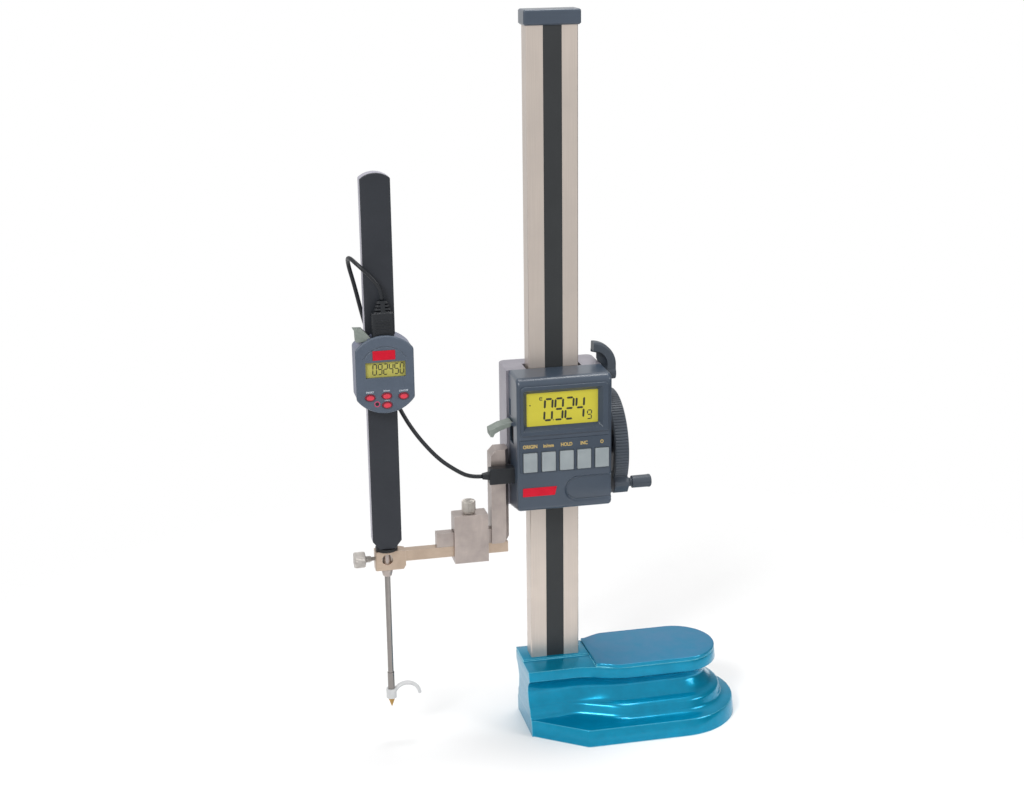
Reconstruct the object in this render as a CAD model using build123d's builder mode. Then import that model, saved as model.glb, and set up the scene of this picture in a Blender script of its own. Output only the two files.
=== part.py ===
from build123d import *
import math
import os

# Digital height gauge, 500 mm measuring range, with a data-linked travel indicator in its arm.
# Millimetres. X runs right along the base, Y away from the display, Z up.
# The origin is on the underside of the base, on the axis of the column.

os.makedirs("parts", exist_ok=True)

# ---------------------------------------------------------------- driving dimensions
COLUMN_W = 52.0        # column section, across
COLUMN_D = 20.0        # column section, front to back
COLUMN_FOOT = 55.0     # bottom of the column, in its pocket in the base
COLUMN_TOP = 748.0
PLATFORM_Z = 75.0      # machined pad round the foot of the column
BASE_MID_Y = -12.0     # centre line of the base
FLANGE_Z = 18.0

CAR_HALF_W = 50.0      # carriage block
CAR_FRONT = -11.0
CAR_BACK = 30.0
CAR_BOTTOM = 252.0
CAR_TOP = 396.0
CHANNEL_HALF = 29.0    # half width of the channel that the column runs in
RUN = 0.05             # running clearance on the column

CASE_LEFT = -47.5      # display case
CASE_RIGHT = 51.0
CASE_FRONT = -50.0
WALL = 2.5

MODULE = 1.5           # rack and pinion
TEETH = 12
PITCH_R = MODULE * TEETH / 2
PITCH = math.pi * MODULE
PRESSURE = math.radians(20)
RACK_LINE_Y = 8.4      # pitch line of the rack
SHAFT_Y = RACK_LINE_Y + PITCH_R
SHAFT_Z = 303.5

WHEEL_R = 55.5         # handwheel
RIBS = 111             # pitches of its grip ribs, five left out for the lug
WHEEL_IN = 58.0
WHEEL_OUT = 73.0
LUG_ANGLE = 215.0      # direction of the crank lug, in the YZ plane from +Y towards +Z
CRANK_R = 56.0

ARM_FRONT = -23.5      # measuring arm
ARM_BACK = -4.5
BAR_FRONT = -20.0      # jaw bar and holder bar
BAR_BACK = -10.0
JAW_Z = 214.5          # underside of the jaw

IND_X = -178.5         # axis of the indicator
IND_Y = -15.0
IND_TOP = 599.0
IND_BOTTOM = 219.0

CABLE_D = 4.2


# ---------------------------------------------------------------- base
def base_plan(z, left, x_narrow, half_left, x_wide, half_right, x_round, ease):
    """Plan of the base at one height: square left end, eased flare, straight sides, round right end."""
    m = BASE_MID_Y
    with BuildSketch(Plane.XY.offset(z)) as plan:
        with BuildLine():
            Polyline((x_round, m - half_right), (x_wide, m - half_right), (x_narrow, m - half_left),
                     (left, m - half_left), (left, m + half_left), (x_narrow, m + half_left),
                     (x_wide, m + half_right), (x_round, m + half_right))
            ThreePointArc((x_round, m + half_right), (x_round + half_right, m), (x_round, m - half_right))
        make_face()
        fillet(plan.vertices().filter_by(lambda v: left + 0.5 < v.X < x_round - 0.5), ease)
    return plan.sketch


foot_plan = base_plan(0, -34.0, -32.0, 34.0, 19.0, 71.0, 127.0, 3.0)
foot_top = base_plan(FLANGE_Z, -34.5, -31.5, 33.0, 20.0, 69.0, 127.0, 3.0)
shelf_plan = base_plan(23.5, -34.7, -5.0, 29.5, 47.0, 57.5, 128.5, 14.0)
crest_plan = base_plan(30.0, -35.0, 13.0, 27.0, 64.0, 50.0, 130.0, 24.0)
waist_plan = base_plan(47.0, -35.5, 18.0, 21.0, 58.0, 31.0, 132.0, 28.0)
band_plan = base_plan(61.0, -36.0, 24.0, 30.5, 58.0, 43.0, 134.0, 18.0)
ledge_plan = base_plan(73.0, -36.5, 26.0, 30.0, 58.0, 42.0, 134.0, 14.0)
plate_plan = base_plan(73.0, 36.5, 39.5, 33.5, 58.0, 42.0, 134.0, 6.0)

with BuildPart() as base_casting:
    loft([foot_plan, foot_top], ruled=True)
    loft([foot_top, shelf_plan, crest_plan])
    loft([crest_plan, waist_plan, band_plan])
    loft([band_plan, ledge_plan], ruled=True)
    # grip plate on the right, standing proud of the column ledge
    add(plate_plan)
    extrude(amount=4.0)
    fillet(base_casting.faces().sort_by(Axis.Z)[-1].edges(), 1.4)
    # machined pad for the column
    with BuildSketch(Plane.XY.offset(72.0)) as pad:
        with Locations((0, 3.0)):
            Rectangle(72.0, 35.0)
    extrude(amount=PLATFORM_Z - 72.0)
    # pocket for the column foot
    with BuildSketch(Plane.XY.offset(COLUMN_FOOT)) as foot_pocket:
        Rectangle(COLUMN_W + 0.1, COLUMN_D + 0.1)
    extrude(amount=40.0, mode=Mode.SUBTRACT)
    # hollow underside that leaves a lapped rim
    with BuildSketch(Plane.XY) as underside:
        add(base_plan(0, -20.0, -16.0, 22.0, 26.0, 57.0, 127.0, 4.0))
    extrude(amount=10.0, mode=Mode.SUBTRACT)
    with Locations(*[Location((x, 0, 10.0), (180, 0, 0)) for x in (-15.0, 15.0)]):
        CounterBoreHole(4.5, 7.5, 9.0, depth=60.0)
base_casting.part.label = "base_casting"
export_step(base_casting.part, "parts/base_casting.step")


# ---------------------------------------------------------------- column
with BuildPart() as column:
    with BuildSketch(Plane.XY.offset(COLUMN_FOOT)) as bar:
        Rectangle(COLUMN_W, COLUMN_D)
        chamfer(bar.vertices(), 0.8)
        with Locations((0.25, -COLUMN_D / 2)):
            Rectangle(18.8, 2.0, mode=Mode.SUBTRACT)
        with Locations((0, COLUMN_D / 2)):
            Rectangle(10.2, 13.8, mode=Mode.SUBTRACT)
    extrude(amount=COLUMN_TOP - COLUMN_FOOT)
    with Locations(*[Location((x, 0, COLUMN_FOOT), (180, 0, 0)) for x in (-15.0, 15.0)]):
        Hole(4.05, depth=32.0)
column.part.label = "column"
export_step(column.part, "parts/column.step")

with BuildPart() as column_bolts:
    for x in (-15.0, 15.0):
        with BuildSketch(Plane((x, 0, 11.0))) as head:
            Circle(6.5)
        extrude(amount=8.0)
        with BuildSketch(Plane((x, 0, 11.0))) as socket:
            RegularPolygon(3.4, 6)
        extrude(amount=4.0, mode=Mode.SUBTRACT)
        with BuildSketch(Plane((x, 0, 19.0))) as shank:
            Circle(4.0)
        extrude(amount=62.0)
column_bolts.part.label = "column_bolts"
export_step(column_bolts.part, "parts/column_bolts.step")

with BuildPart() as scale_strip:
    with BuildSketch(Plane.XY.offset(PLATFORM_Z + 0.2)) as tape:
        with Locations((0.25, -9.5)):
            Rectangle(18.6, 0.8)
    extrude(amount=COLUMN_TOP - PLATFORM_Z - 1.0)
scale_strip.part.label = "scale_strip"
export_step(scale_strip.part, "parts/scale_strip.step")

with BuildPart() as column_cap:
    with BuildSketch(Plane.XY.offset(737.0)) as cap_plan:
        RectangleRounded(57.4, 25.4, 2.0)
    extrude(amount=15.0)
    chamfer(column_cap.faces().sort_by(Axis.Z)[0].outer_wire().edges(), 1.6)
    fillet(column_cap.faces().sort_by(Axis.Z)[-1].edges(), 2.4)
    with BuildSketch(Plane.XY.offset(737.0)) as cap_socket:
        Rectangle(COLUMN_W + 0.1, COLUMN_D + 0.1)
    extrude(amount=COLUMN_TOP - 737.0 + 0.1, mode=Mode.SUBTRACT)
column_cap.part.label = "column_cap"
export_step(column_cap.part, "parts/column_cap.step")

# rack let into the back of the column: straight flanks, stub teeth
RACK_ADD = 1.0
RACK_DED = 1.5
BACKLASH = 0.12
rack_start = SHAFT_Z - 44.5 * PITCH
rack_points = [(3.3, rack_start - PITCH / 2)]
for k in range(134):
    middle = rack_start + k * PITCH
    half_root = PITCH / 4 - BACKLASH / 2 + RACK_DED * math.tan(PRESSURE)
    half_tip = PITCH / 4 - BACKLASH / 2 - RACK_ADD * math.tan(PRESSURE)
    rack_points += [(RACK_LINE_Y - RACK_DED, middle - half_root), (RACK_LINE_Y + RACK_ADD, middle - half_tip)]
    rack_points += [(RACK_LINE_Y + RACK_ADD, middle + half_tip), (RACK_LINE_Y - RACK_DED, middle + half_root)]
rack_points += [(3.3, rack_start + 133.5 * PITCH)]
with BuildPart() as rack:
    with BuildSketch(Plane.YZ.offset(-5.0)) as rack_side:
        with BuildLine():
            Polyline(*rack_points, close=True)
        make_face()
    extrude(amount=10.0)
rack.part.label = "rack"
export_step(rack.part, "parts/rack.step")

# ---------------------------------------------------------------- carriage block
with BuildPart() as carriage_block:
    with BuildSketch(Plane.XY.offset(CAR_BOTTOM)) as block_plan:
        with Locations((0, (CAR_FRONT + CAR_BACK) / 2)):
            Rectangle(2 * CAR_HALF_W, CAR_BACK - CAR_FRONT)
        fillet(block_plan.vertices().group_by(Axis.Y)[-1], 7.0)
        with Locations((0, CAR_FRONT)):
            Rectangle(2 * CHANNEL_HALF, 2 * (COLUMN_D / 2 + RUN - CAR_FRONT), mode=Mode.SUBTRACT)
    extrude(amount=CAR_TOP - CAR_BOTTOM)
    fillet(carriage_block.faces().filter_by(Plane.YZ).sort_by(Axis.X)[0].edges().group_by(Axis.Z)[-1], 1.5)
    # pockets of the guide pads
    with Locations(*[(x, -2.0, z) for x in (-CHANNEL_HALF, CHANNEL_HALF) for z in (275.0, 346.0)]):
        Box(3.2, 14.1, 38.1, mode=Mode.SUBTRACT)
    # bore of the pinion shaft: wide from the right, a pilot on the left
    with BuildSketch(Plane.YZ.offset(-6.0)) as shaft_bore:
        with Locations((SHAFT_Y, SHAFT_Z)):
            Circle(10.8)
    extrude(amount=CAR_HALF_W + 6.0, mode=Mode.SUBTRACT)
    with BuildSketch(Plane.YZ.offset(-22.0)) as pilot_bore:
        with Locations((SHAFT_Y, SHAFT_Z)):
            Circle(4.05)
    extrude(amount=16.0, mode=Mode.SUBTRACT)
    # lock bore and the two pad-setting screws, right wall
    with BuildSketch(Plane.YZ.offset(26.0)) as lock_bore:
        with Locations((5.0, 382.0)):
            Circle(4.05)
    extrude(amount=24.0, mode=Mode.SUBTRACT)
    # arm screws, left wall
    with BuildSketch(Plane.YZ.offset(-50.0)) as arm_bores:
        with Locations((8.0, 262.0), (8.0, 292.0)):
            Circle(2.55)
    extrude(amount=16.0, mode=Mode.SUBTRACT)
    # keeper plate screws, front
    with BuildSketch(Plane.XZ.offset(-CAR_FRONT)) as keeper_bores:
        with Locations(*[(x, z) for x in (-38.0, 38.0) for z in (270.0, 324.0, 374.0)]):
            Circle(2.05)
    extrude(amount=-12.0, mode=Mode.SUBTRACT)
carriage_block.part.label = "carriage_block"
export_step(carriage_block.part, "parts/carriage_block.step")

with BuildPart() as guide_pads:
    with Locations(*[(side * (CHANNEL_HALF - 0.7), -2.0, z) for side in (-1, 1) for z in (275.0, 346.0)]):
        Box(4.5, 14.0, 38.0)
guide_pads.part.label = "guide_pads"
export_step(guide_pads.part, "parts/guide_pads.step")

# keeper plate across the front of the channel, with a window for the reading head
with BuildPart() as keeper_plate:
    with BuildSketch(Plane.XZ.offset(-CAR_FRONT)) as keeper_face:
        with Locations((0, 322.0)):
            RectangleRounded(88.0, 124.0, 4.0)
        with Locations((0.25, 305.0)):
            Rectangle(28.0, 40.0, mode=Mode.SUBTRACT)
        with Locations(*[(x, z) for x in (-38.0, 38.0) for z in (270.0, 324.0, 374.0)]):
            Circle(2.1, mode=Mode.SUBTRACT)
    extrude(amount=3.0)
    with BuildSketch(Plane.XZ.offset(COLUMN_D / 2 + RUN)) as keeper_land:
        for x in (-23.0, 23.0):
            with Locations((x, 322.0)):
                Rectangle(6.0, 124.0)
    extrude(amount=1.5)
keeper_plate.part.label = "keeper_plate"
export_step(keeper_plate.part, "parts/keeper_plate.step")

with BuildPart() as keeper_screws:
    for z in (270.0, 324.0, 374.0):
        for x in (-38.0, 38.0):
            with BuildSketch(Plane.XZ.offset(-CAR_FRONT + 3.0)) as button_head:
                with Locations((x, z)):
                    Circle(3.5)
            extrude(amount=2.2)
            with BuildSketch(Plane.XZ.offset(-CAR_FRONT + 3.0)) as thread:
                with Locations((x, z)):
                    Circle(2.0)
            extrude(amount=-8.5)
keeper_screws.part.label = "keeper_screws"
export_step(keeper_screws.part, "parts/keeper_screws.step")

with BuildPart() as reading_head:
    with BuildSketch(Plane.XZ.offset(10.35)) as head_face:
        with Locations((0.25, 305.0)):
            RectangleRounded(27.6, 39.6, 1.0)
    extrude(amount=3.65)
    with BuildSketch(Plane.XZ.offset(14.0)) as head_flange:
        with Locations((0.25, 305.0)):
            RectangleRounded(40.0, 48.0, 3.0)
    extrude(amount=2.0)
reading_head.part.label = "reading_head"
export_step(reading_head.part, "parts/reading_head.step")

# ---------------------------------------------------------------- handwheel drive
shaft_plane = Plane((0, SHAFT_Y, SHAFT_Z), x_dir=(0, 1, 0), z_dir=(1, 0, 0))
lug_way = Vector(0, math.cos(math.radians(LUG_ANGLE)), math.sin(math.radians(LUG_ANGLE)))
lug_plane = Plane(shaft_plane.origin, x_dir=lug_way, z_dir=(1, 0, 0))
crank_plane = Plane(shaft_plane.origin + lug_way * CRANK_R, x_dir=(0, 1, 0), z_dir=(1, 0, 0))


def involute(angle_shift, radii):
    """Points of one involute flank at the given radii, its pitch point turned to angle_shift."""
    base_r = PITCH_R * math.cos(PRESSURE)
    at_pitch = math.tan(PRESSURE) - PRESSURE
    points = []
    for r in radii:
        a = math.acos(min(1.0, base_r / max(r, base_r)))
        turn = angle_shift - (math.tan(a) - a - at_pitch)
        points.append((r * math.cos(turn), r * math.sin(turn)))
    return points


PINION_TIP = PITCH_R + 1.3
PINION_ROOT = PITCH_R - 1.25
flank = involute((PITCH / 4 - BACKLASH / 2) / PITCH_R, [PINION_ROOT - 0.6, 8.46, 9.0, 9.65, PINION_TIP])
with BuildSketch() as tooth:
    with BuildLine():
        Polyline(*flank, *[(x, -y) for x, y in reversed(flank)], close=True)
    make_face()
with BuildPart() as pinion_shaft:
    # teeth: one points straight at the rack
    with BuildSketch(shaft_plane.offset(-4.0)) as pinion_face:
        Circle(PINION_ROOT)
        with PolarLocations(0, TEETH, start_angle=180):
            add(tooth.sketch)
    extrude(amount=8.0)
    with BuildSketch(shaft_plane.offset(-20.0)) as left_journal:
        Circle(4.0)
    extrude(amount=16.0)
    with BuildSketch(shaft_plane.offset(4.0)) as right_journal:
        Circle(5.0)
    extrude(amount=WHEEL_OUT - 4.0 - 2.0)
    with BuildSketch(shaft_plane.offset(WHEEL_OUT - 2.0)) as hub_thread:
        Circle(2.55)
    extrude(amount=-14.0, mode=Mode.SUBTRACT)
pinion_shaft.part.label = "pinion_shaft"
export_step(pinion_shaft.part, "parts/pinion_shaft.step")

with BuildPart() as shaft_bush:
    with BuildSketch(shaft_plane.offset(CHANNEL_HALF + 1.5)) as bush_ring:
        Circle(10.8)
        Circle(5.05, mode=Mode.SUBTRACT)
    extrude(amount=CAR_HALF_W - CHANNEL_HALF - 1.5)
    with BuildSketch(shaft_plane.offset(CAR_HALF_W)) as bush_flange:
        Circle(14.0)
        Circle(5.05, mode=Mode.SUBTRACT)
    extrude(amount=2.0)
shaft_bush.part.label = "shaft_bush"
export_step(shaft_bush.part, "parts/shaft_bush.step")

with BuildPart() as handwheel:
    # ribbed rim, dished web and hub in one moulding
    with BuildSketch(shaft_plane.offset(WHEEL_IN + 0.8)) as ribbed_rim:
        Circle(WHEEL_R)
        with PolarLocations(WHEEL_R + 0.35, RIBS, start_angle=LUG_ANGLE + 3.0 * 360 / RIBS):
            Rectangle(1.9, 1.25, rotation=45, mode=Mode.SUBTRACT)
    extrude(amount=WHEEL_OUT - WHEEL_IN - 1.6)
    with BuildSketch(shaft_plane.offset(WHEEL_IN)) as rim_band:
        Circle(WHEEL_R - 1.2)
    extrude(amount=WHEEL_OUT - WHEEL_IN)
    with BuildSketch(shaft_plane.offset(WHEEL_IN)) as inner_dish:
        Circle(48.0)
        Circle(14.0, mode=Mode.SUBTRACT)
    extrude(amount=6.0, taper=8, mode=Mode.SUBTRACT)
    with BuildSketch(shaft_plane.offset(WHEEL_OUT)) as outer_dish:
        Circle(48.0)
        Circle(13.0, mode=Mode.SUBTRACT)
    extrude(amount=-5.0, taper=8, mode=Mode.SUBTRACT)
    with BuildSketch(shaft_plane.offset(WHEEL_IN - 4.5)) as hub_boss:
        Circle(12.0)
    extrude(amount=8.0)
    # crank lug: a radial block that stands proud of the rim
    with BuildSketch(lug_plane.offset(WHEEL_IN)) as lug:
        with Locations((54.5, 0)):
            Rectangle(19.0, 16.0)
        fillet(lug.vertices().group_by(Axis.X)[-1], 3.0)
    extrude(amount=WHEEL_OUT - WHEEL_IN)
    with BuildSketch(shaft_plane.offset(WHEEL_IN - 4.5)) as wheel_bore:
        Circle(5.02)
    extrude(amount=40.0, mode=Mode.SUBTRACT)
    with BuildSketch(lug_plane.offset(WHEEL_IN + 3.0)) as pin_bore:
        with Locations((CRANK_R, 0)):
            Circle(2.52)
    extrude(amount=20.0, mode=Mode.SUBTRACT)
handwheel.part.label = "handwheel"
export_step(handwheel.part, "parts/handwheel.step")

with BuildPart() as hub_screw:
    with BuildSketch(shaft_plane.offset(WHEEL_OUT)) as screw_head:
        Circle(8.0)
    extrude(amount=2.6)
    fillet(hub_screw.edges().sort_by(Axis.X)[-1], 1.2)
    with BuildSketch(shaft_plane.offset(WHEEL_OUT + 2.6)) as screw_socket:
        RegularPolygon(2.3, 6)
    extrude(amount=-1.8, mode=Mode.SUBTRACT)
    with BuildSketch(shaft_plane.offset(WHEEL_OUT)) as screw_shank:
        Circle(2.5)
    extrude(amount=-13.0)
hub_screw.part.label = "hub_screw"
export_step(hub_screw.part, "parts/hub_screw.step")

with BuildPart() as crank_pin:
    with BuildSketch(crank_plane.offset(WHEEL_IN + 4.0)) as pin_thread:
        Circle(2.5)
    extrude(amount=WHEEL_OUT - WHEEL_IN - 4.0)
    with BuildSketch(crank_plane.offset(WHEEL_OUT)) as pin_shoulder:
        Circle(3.0)
    extrude(amount=21.5)
    with BuildSketch(crank_plane.offset(WHEEL_OUT + 21.5)) as pin_head:
        Circle(4.2)
    extrude(amount=2.4)
    with BuildSketch(crank_plane.offset(WHEEL_OUT + 23.9)) as pin_slot:
        Rectangle(9.0, 1.0)
    extrude(amount=-1.2, mode=Mode.SUBTRACT)
crank_pin.part.label = "crank_pin"
export_step(crank_pin.part, "parts/crank_pin.step")

# crank knob: waisted neck and an eight-sided barrel with rounded end, drawn by revolving and facetting
with BuildPart() as crank_knob:
    knob_side = Plane(crank_plane.origin, x_dir=(1, 0, 0), z_dir=(0, 0, 1))
    with BuildSketch(knob_side) as knob_profile:
        with BuildLine():
            Polyline((73.3, 3.07), (73.3, 4.6), (74.6, 5.0), (76.0, 4.4), (77.6, 4.4), (78.2, 6.4))
            Line((78.2, 6.4), (96.0, 6.75))
            ThreePointArc((96.0, 6.75), (97.9, 6.2), (98.4, 5.0))
            Polyline((98.4, 5.0), (98.4, 4.6), (94.4, 4.6), (94.4, 3.07), (73.3, 3.07))
        make_face()
    revolve(axis=Axis(crank_plane.origin, (1, 0, 0)))
    with BuildSketch(crank_plane.offset(78.4)) as flats:
        Circle(9.0)
        RegularPolygon(6.45, 8, major_radius=False, mode=Mode.SUBTRACT)
    extrude(amount=17.4, mode=Mode.SUBTRACT)
crank_knob.part.label = "crank_knob"
export_step(crank_knob.part, "parts/crank_knob.step")

# ---------------------------------------------------------------- lock
lock_plane = Plane((0, 5.0, 382.0), x_dir=(0, 1, 0), z_dir=(1, 0, 0))
with BuildPart() as lock_stud:
    with BuildSketch(lock_plane.offset(34.6)) as stud_end:
        Circle(4.0)
    extrude(amount=27.4)
lock_stud.part.label = "lock_stud"
export_step(lock_stud.part, "parts/lock_stud.step")

# claw lever: a crescent that curls in over the carriage, on a round hub
with BuildPart() as lock_lever:
    with BuildSketch(Plane.XZ.offset(1.0)) as claw:
        with BuildLine():
            CenterArc((44.0, 391.0), 25.0, 0, 88)
            Line((44.0, 391.0) + Vector(25.0, 0).rotate(Axis.Z, 88), (44.6, 406.5))
            ThreePointArc((44.6, 406.5), (55.3, 402.5), (59.5, 391.5))
            Line((59.5, 391.5), (59.5, 380.0))
            Line((59.5, 380.0), (69.0, 378.0))
            Line((69.0, 378.0), (69.0, 391.0))
        make_face()
    extrude(amount=-12.0)
    fillet(lock_lever.edges().filter_by(GeomType.CIRCLE).filter_by(lambda e: e.radius > 24.0), 2.5)
    # web that closes the back of the claw
    with BuildSketch(Plane.XZ.offset(-9.0)) as web:
        with BuildLine():
            Polyline((59.6, 391.5), (59.6, 386.5), (54.6, 386.8), (50.4, 396.5), (50.4, 402.4),
                     (44.4, 404.0), (44.4, 406.6))
            ThreePointArc((44.4, 406.6), (55.5, 402.8), (59.6, 391.5))
        make_face()
    extrude(amount=-2.0)
    with BuildSketch(lock_plane.offset(CAR_HALF_W + 0.6)) as hub:
        Circle(7.2)
    extrude(amount=17.9)
    with BuildSketch(lock_plane.offset(CAR_HALF_W + 0.6)) as hub_bore:
        Circle(4.02)
    extrude(amount=11.6, mode=Mode.SUBTRACT)
lock_lever.part.label = "lock_lever"
export_step(lock_lever.part, "parts/lock_lever.step")


# ---------------------------------------------------------------- display case
LCD_X = (-37.3, 36.9)
LCD_Z = (345.7, 380.5)
BUTTON_X = (-34.6, -15.6, 3.1, 21.3, 40.0)
BUTTON_Z = 309.0
FLAP_PIN = (-49.3, 345.4)
BEZEL_PLUG = (84.0, 44.6)
BAY_X = 15.4
BAY_Z = 276.6
BAY_DEPTH = 2.2


def bay_outline(depth, half):
    """D-shaped outline of the battery bay at a depth below the case's front: round left end, open right end."""
    with BuildSketch(Plane.XZ.offset(-CASE_FRONT - depth)) as outline:
        with Locations((BAY_X + 24.0, BAY_Z)):
            Rectangle(48.0, 2 * half)
        with Locations((BAY_X, BAY_Z)):
            Circle(half)
    return outline.sketch


def window_outline(height, half_w, half_h):
    """Outline of the display's window, at a height above the case's front."""
    with BuildSketch(Plane.XZ.offset(-CASE_FRONT + height)) as outline:
        with Locations((sum(LCD_X) / 2, sum(LCD_Z) / 2)):
            RectangleRounded(2 * half_w, 2 * half_h, 1.0)
    return outline.sketch


with BuildPart() as display_case:
    # side profile: flat top, broad rounded brow, upright front, underside that rises to the front
    with BuildSketch(Plane.YZ.offset(CASE_LEFT)) as case_side:
        with BuildLine():
            Polyline((CAR_FRONT, 396.0), (CASE_FRONT, 396.0), (CASE_FRONT, 257.0), (CAR_FRONT, 249.8),
                     close=True)
        make_face()
        fillet(case_side.vertices().group_by(Axis.X)[0].sort_by(Axis.Y)[-1], 8.0)
        fillet(case_side.vertices().group_by(Axis.X)[0].sort_by(Axis.Y)[0], 5.0)
    extrude(amount=CASE_RIGHT - CASE_LEFT)
    flanks = display_case.faces().filter_by(Axis.X).edges()
    fillet(flanks.filter_by(lambda e: e.center().Y < CAR_FRONT - 1.0), 3.5)
    # hollow, open to the back
    with BuildSketch(Plane.XZ.offset(-CAR_FRONT)) as hollow:
        with Locations(((CASE_LEFT + CASE_RIGHT) / 2, 326.2)):
            RectangleRounded(CASE_RIGHT - CASE_LEFT - 2 * WALL, 133.6, 3.0)
    extrude(amount=CAR_FRONT - CASE_FRONT - 5.5, mode=Mode.SUBTRACT)
    # cup for the cell, behind the front wall
    with BuildSketch(Plane.XZ.offset(44.5)) as cell_cup:
        with Locations((BAY_X + 7.0, BAY_Z)):
            Circle(11.8)
    extrude(amount=-3.0)
    # openings for the bezel and the keys
    with BuildSketch(Plane.XZ.offset(-CASE_FRONT + 1)) as window:
        with Locations((sum(LCD_X) / 2, sum(LCD_Z) / 2)):
            Rectangle(BEZEL_PLUG[0] + 0.2, BEZEL_PLUG[1] + 0.2)
        with Locations(*[(x, BUTTON_Z) for x in BUTTON_X]):
            Rectangle(15.4, 21.4)
    extrude(amount=-10.0, mode=Mode.SUBTRACT)
    with BuildSketch(Plane.XZ.offset(-CASE_FRONT)) as keypad_seat:
        with Locations((1.9, 315.0)):
            Rectangle(94.2, 34.6)
    extrude(amount=-1.0, mode=Mode.SUBTRACT)
    with BuildSketch(Plane.XZ.offset(-CASE_FRONT)) as badge_seat:
        with BuildLine():
            Polyline((-42.5, 272.3), (-42.4, 281.7), (-6.8, 281.7), (-9.0, 272.3), close=True)
        make_face()
    extrude(amount=-0.6, mode=Mode.SUBTRACT)
    # dished battery bay that runs out at the right edge, with a seat for the cover in its floor
    loft([bay_outline(BAY_DEPTH, 12.0), bay_outline(-0.01, 14.4)], mode=Mode.SUBTRACT)
    with BuildSketch(Plane.XZ.offset(-CASE_FRONT - BAY_DEPTH)) as cover_seat:
        with Locations((BAY_X + 24.0, BAY_Z)):
            Rectangle(48.0, 23.1)
        with Locations((BAY_X, BAY_Z)):
            Circle(11.55)
    extrude(amount=-1.9, mode=Mode.SUBTRACT)
    with BuildSketch(Plane.XZ.offset(-CASE_FRONT)) as cell_bay:
        with Locations((BAY_X + 7.0, BAY_Z)):
            Circle(10.3)
    extrude(amount=-7.4, mode=Mode.SUBTRACT)
    # left side: plug socket, port opening behind the flap, finger slot above it
    with BuildSketch(Plane.YZ.offset(CASE_LEFT)) as side_openings:
        with Locations((-30.5, 291.5)):
            RectangleRounded(8.2, 12.2, 1.0)
        with Locations((-23.5, 334.6)):
            RectangleRounded(17.2, 23.2, 1.5)
    extrude(amount=WALL + 1.0, mode=Mode.SUBTRACT)
    with BuildSketch(Plane.YZ.offset(CASE_LEFT)) as finger_slot:
        with Locations((-17.0, 359.5)):
            RectangleRounded(7.0, 17.0, 1.0)
    extrude(amount=1.4, mode=Mode.SUBTRACT)
    # hinge ears of the port flap, with a moulded stub in each
    for y, inward in ((-31.8, 1.8), (-15.2, -1.8)):
        with BuildSketch(Plane.XZ.offset(-y)) as ear:
            with BuildLine():
                Polyline((-46.5, 348.4), (-46.5, 342.4), (-49.3, 343.7), (-51.0, 345.4), (-49.3, 347.1),
                         close=True)
            make_face()
            fillet(ear.vertices().sort_by(Axis.X)[:3], 0.6)
        extrude(amount=inward)
        with BuildSketch(Plane.XZ.offset(-y)) as stub:
            with Locations(FLAP_PIN):
                Circle(0.8)
        extrude(amount=-inward)
display_case.part.label = "display_case"
export_step(display_case.part, "parts/display_case.step")

with BuildPart() as bezel_frame:
    # raised rim, and a plug that fills the opening of the case
    with BuildSketch(Plane.XZ.offset(-CASE_FRONT)) as bezel:
        with Locations((1.4, 362.7)):
            Rectangle(91.6, 51.6)
        fillet(bezel.vertices().group_by(Axis.Y)[-1], 5.0)
        fillet(bezel.vertices().group_by(Axis.Y)[0], 2.5)
    extrude(amount=2.2)
    fillet(bezel_frame.faces().sort_by(Axis.Y)[0].edges(), 1.2)
    with BuildSketch(Plane.XZ.offset(-CASE_FRONT)) as bezel_plug:
        with Locations((sum(LCD_X) / 2, sum(LCD_Z) / 2)):
            Rectangle(*BEZEL_PLUG)
    extrude(amount=-3.4)
    # walls that slope in to the display
    loft([window_outline(-2.6, 37.1, 17.4), window_outline(2.3, 41.4, 21.6)], mode=Mode.SUBTRACT)
    with BuildSketch(Plane.XZ.offset(-CASE_FRONT - 2.6)) as lcd_opening:
        with Locations((sum(LCD_X) / 2, sum(LCD_Z) / 2)):
            Rectangle(74.2, 34.8)
    extrude(amount=-2.0, mode=Mode.SUBTRACT)
bezel_frame.part.label = "bezel_frame"
export_step(bezel_frame.part, "parts/bezel_frame.step")

with BuildPart() as lcd_panel:
    with BuildSketch(Plane.XZ.offset(44.1)) as lcd_face:
        with Locations((sum(LCD_X) / 2, sum(LCD_Z) / 2)):
            Rectangle(80.0, 40.0)
    extrude(amount=2.5)
lcd_panel.part.label = "lcd_panel"
export_step(lcd_panel.part, "parts/lcd_panel.step")

with BuildPart() as keypad_frame:
    with BuildSketch(Plane.XZ.offset(-CASE_FRONT - 0.95)) as keypad:
        with Locations((1.9, 315.0)):
            RectangleRounded(94.0, 34.4, 1.0)
        with Locations(*[(x, BUTTON_Z) for x in BUTTON_X]):
            RectangleRounded(15.2, 21.2, 0.8, mode=Mode.SUBTRACT)
    extrude(amount=1.75)
    chamfer(keypad_frame.faces().sort_by(Axis.Y)[0].outer_wire().edges(), 0.4)
keypad_frame.part.label = "keypad_frame"
export_step(keypad_frame.part, "parts/keypad_frame.step")


def push_button(x):
    """One key of the main display: rounded cap with a stop flange behind the case wall."""
    with BuildPart() as key:
        with BuildSketch(Plane.XZ.offset(43.6)) as cap:
            with Locations((x, BUTTON_Z)):
                RectangleRounded(14.3, 20.3, 0.7)
        extrude(amount=8.8)
        fillet(key.faces().sort_by(Axis.Y)[0].edges(), 0.6)
        with BuildSketch(Plane.XZ.offset(43.2)) as stop_flange:
            with Locations((x, BUTTON_Z)):
                RectangleRounded(14.3, 22.6, 0.7)
        extrude(amount=1.2)
    return key


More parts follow.
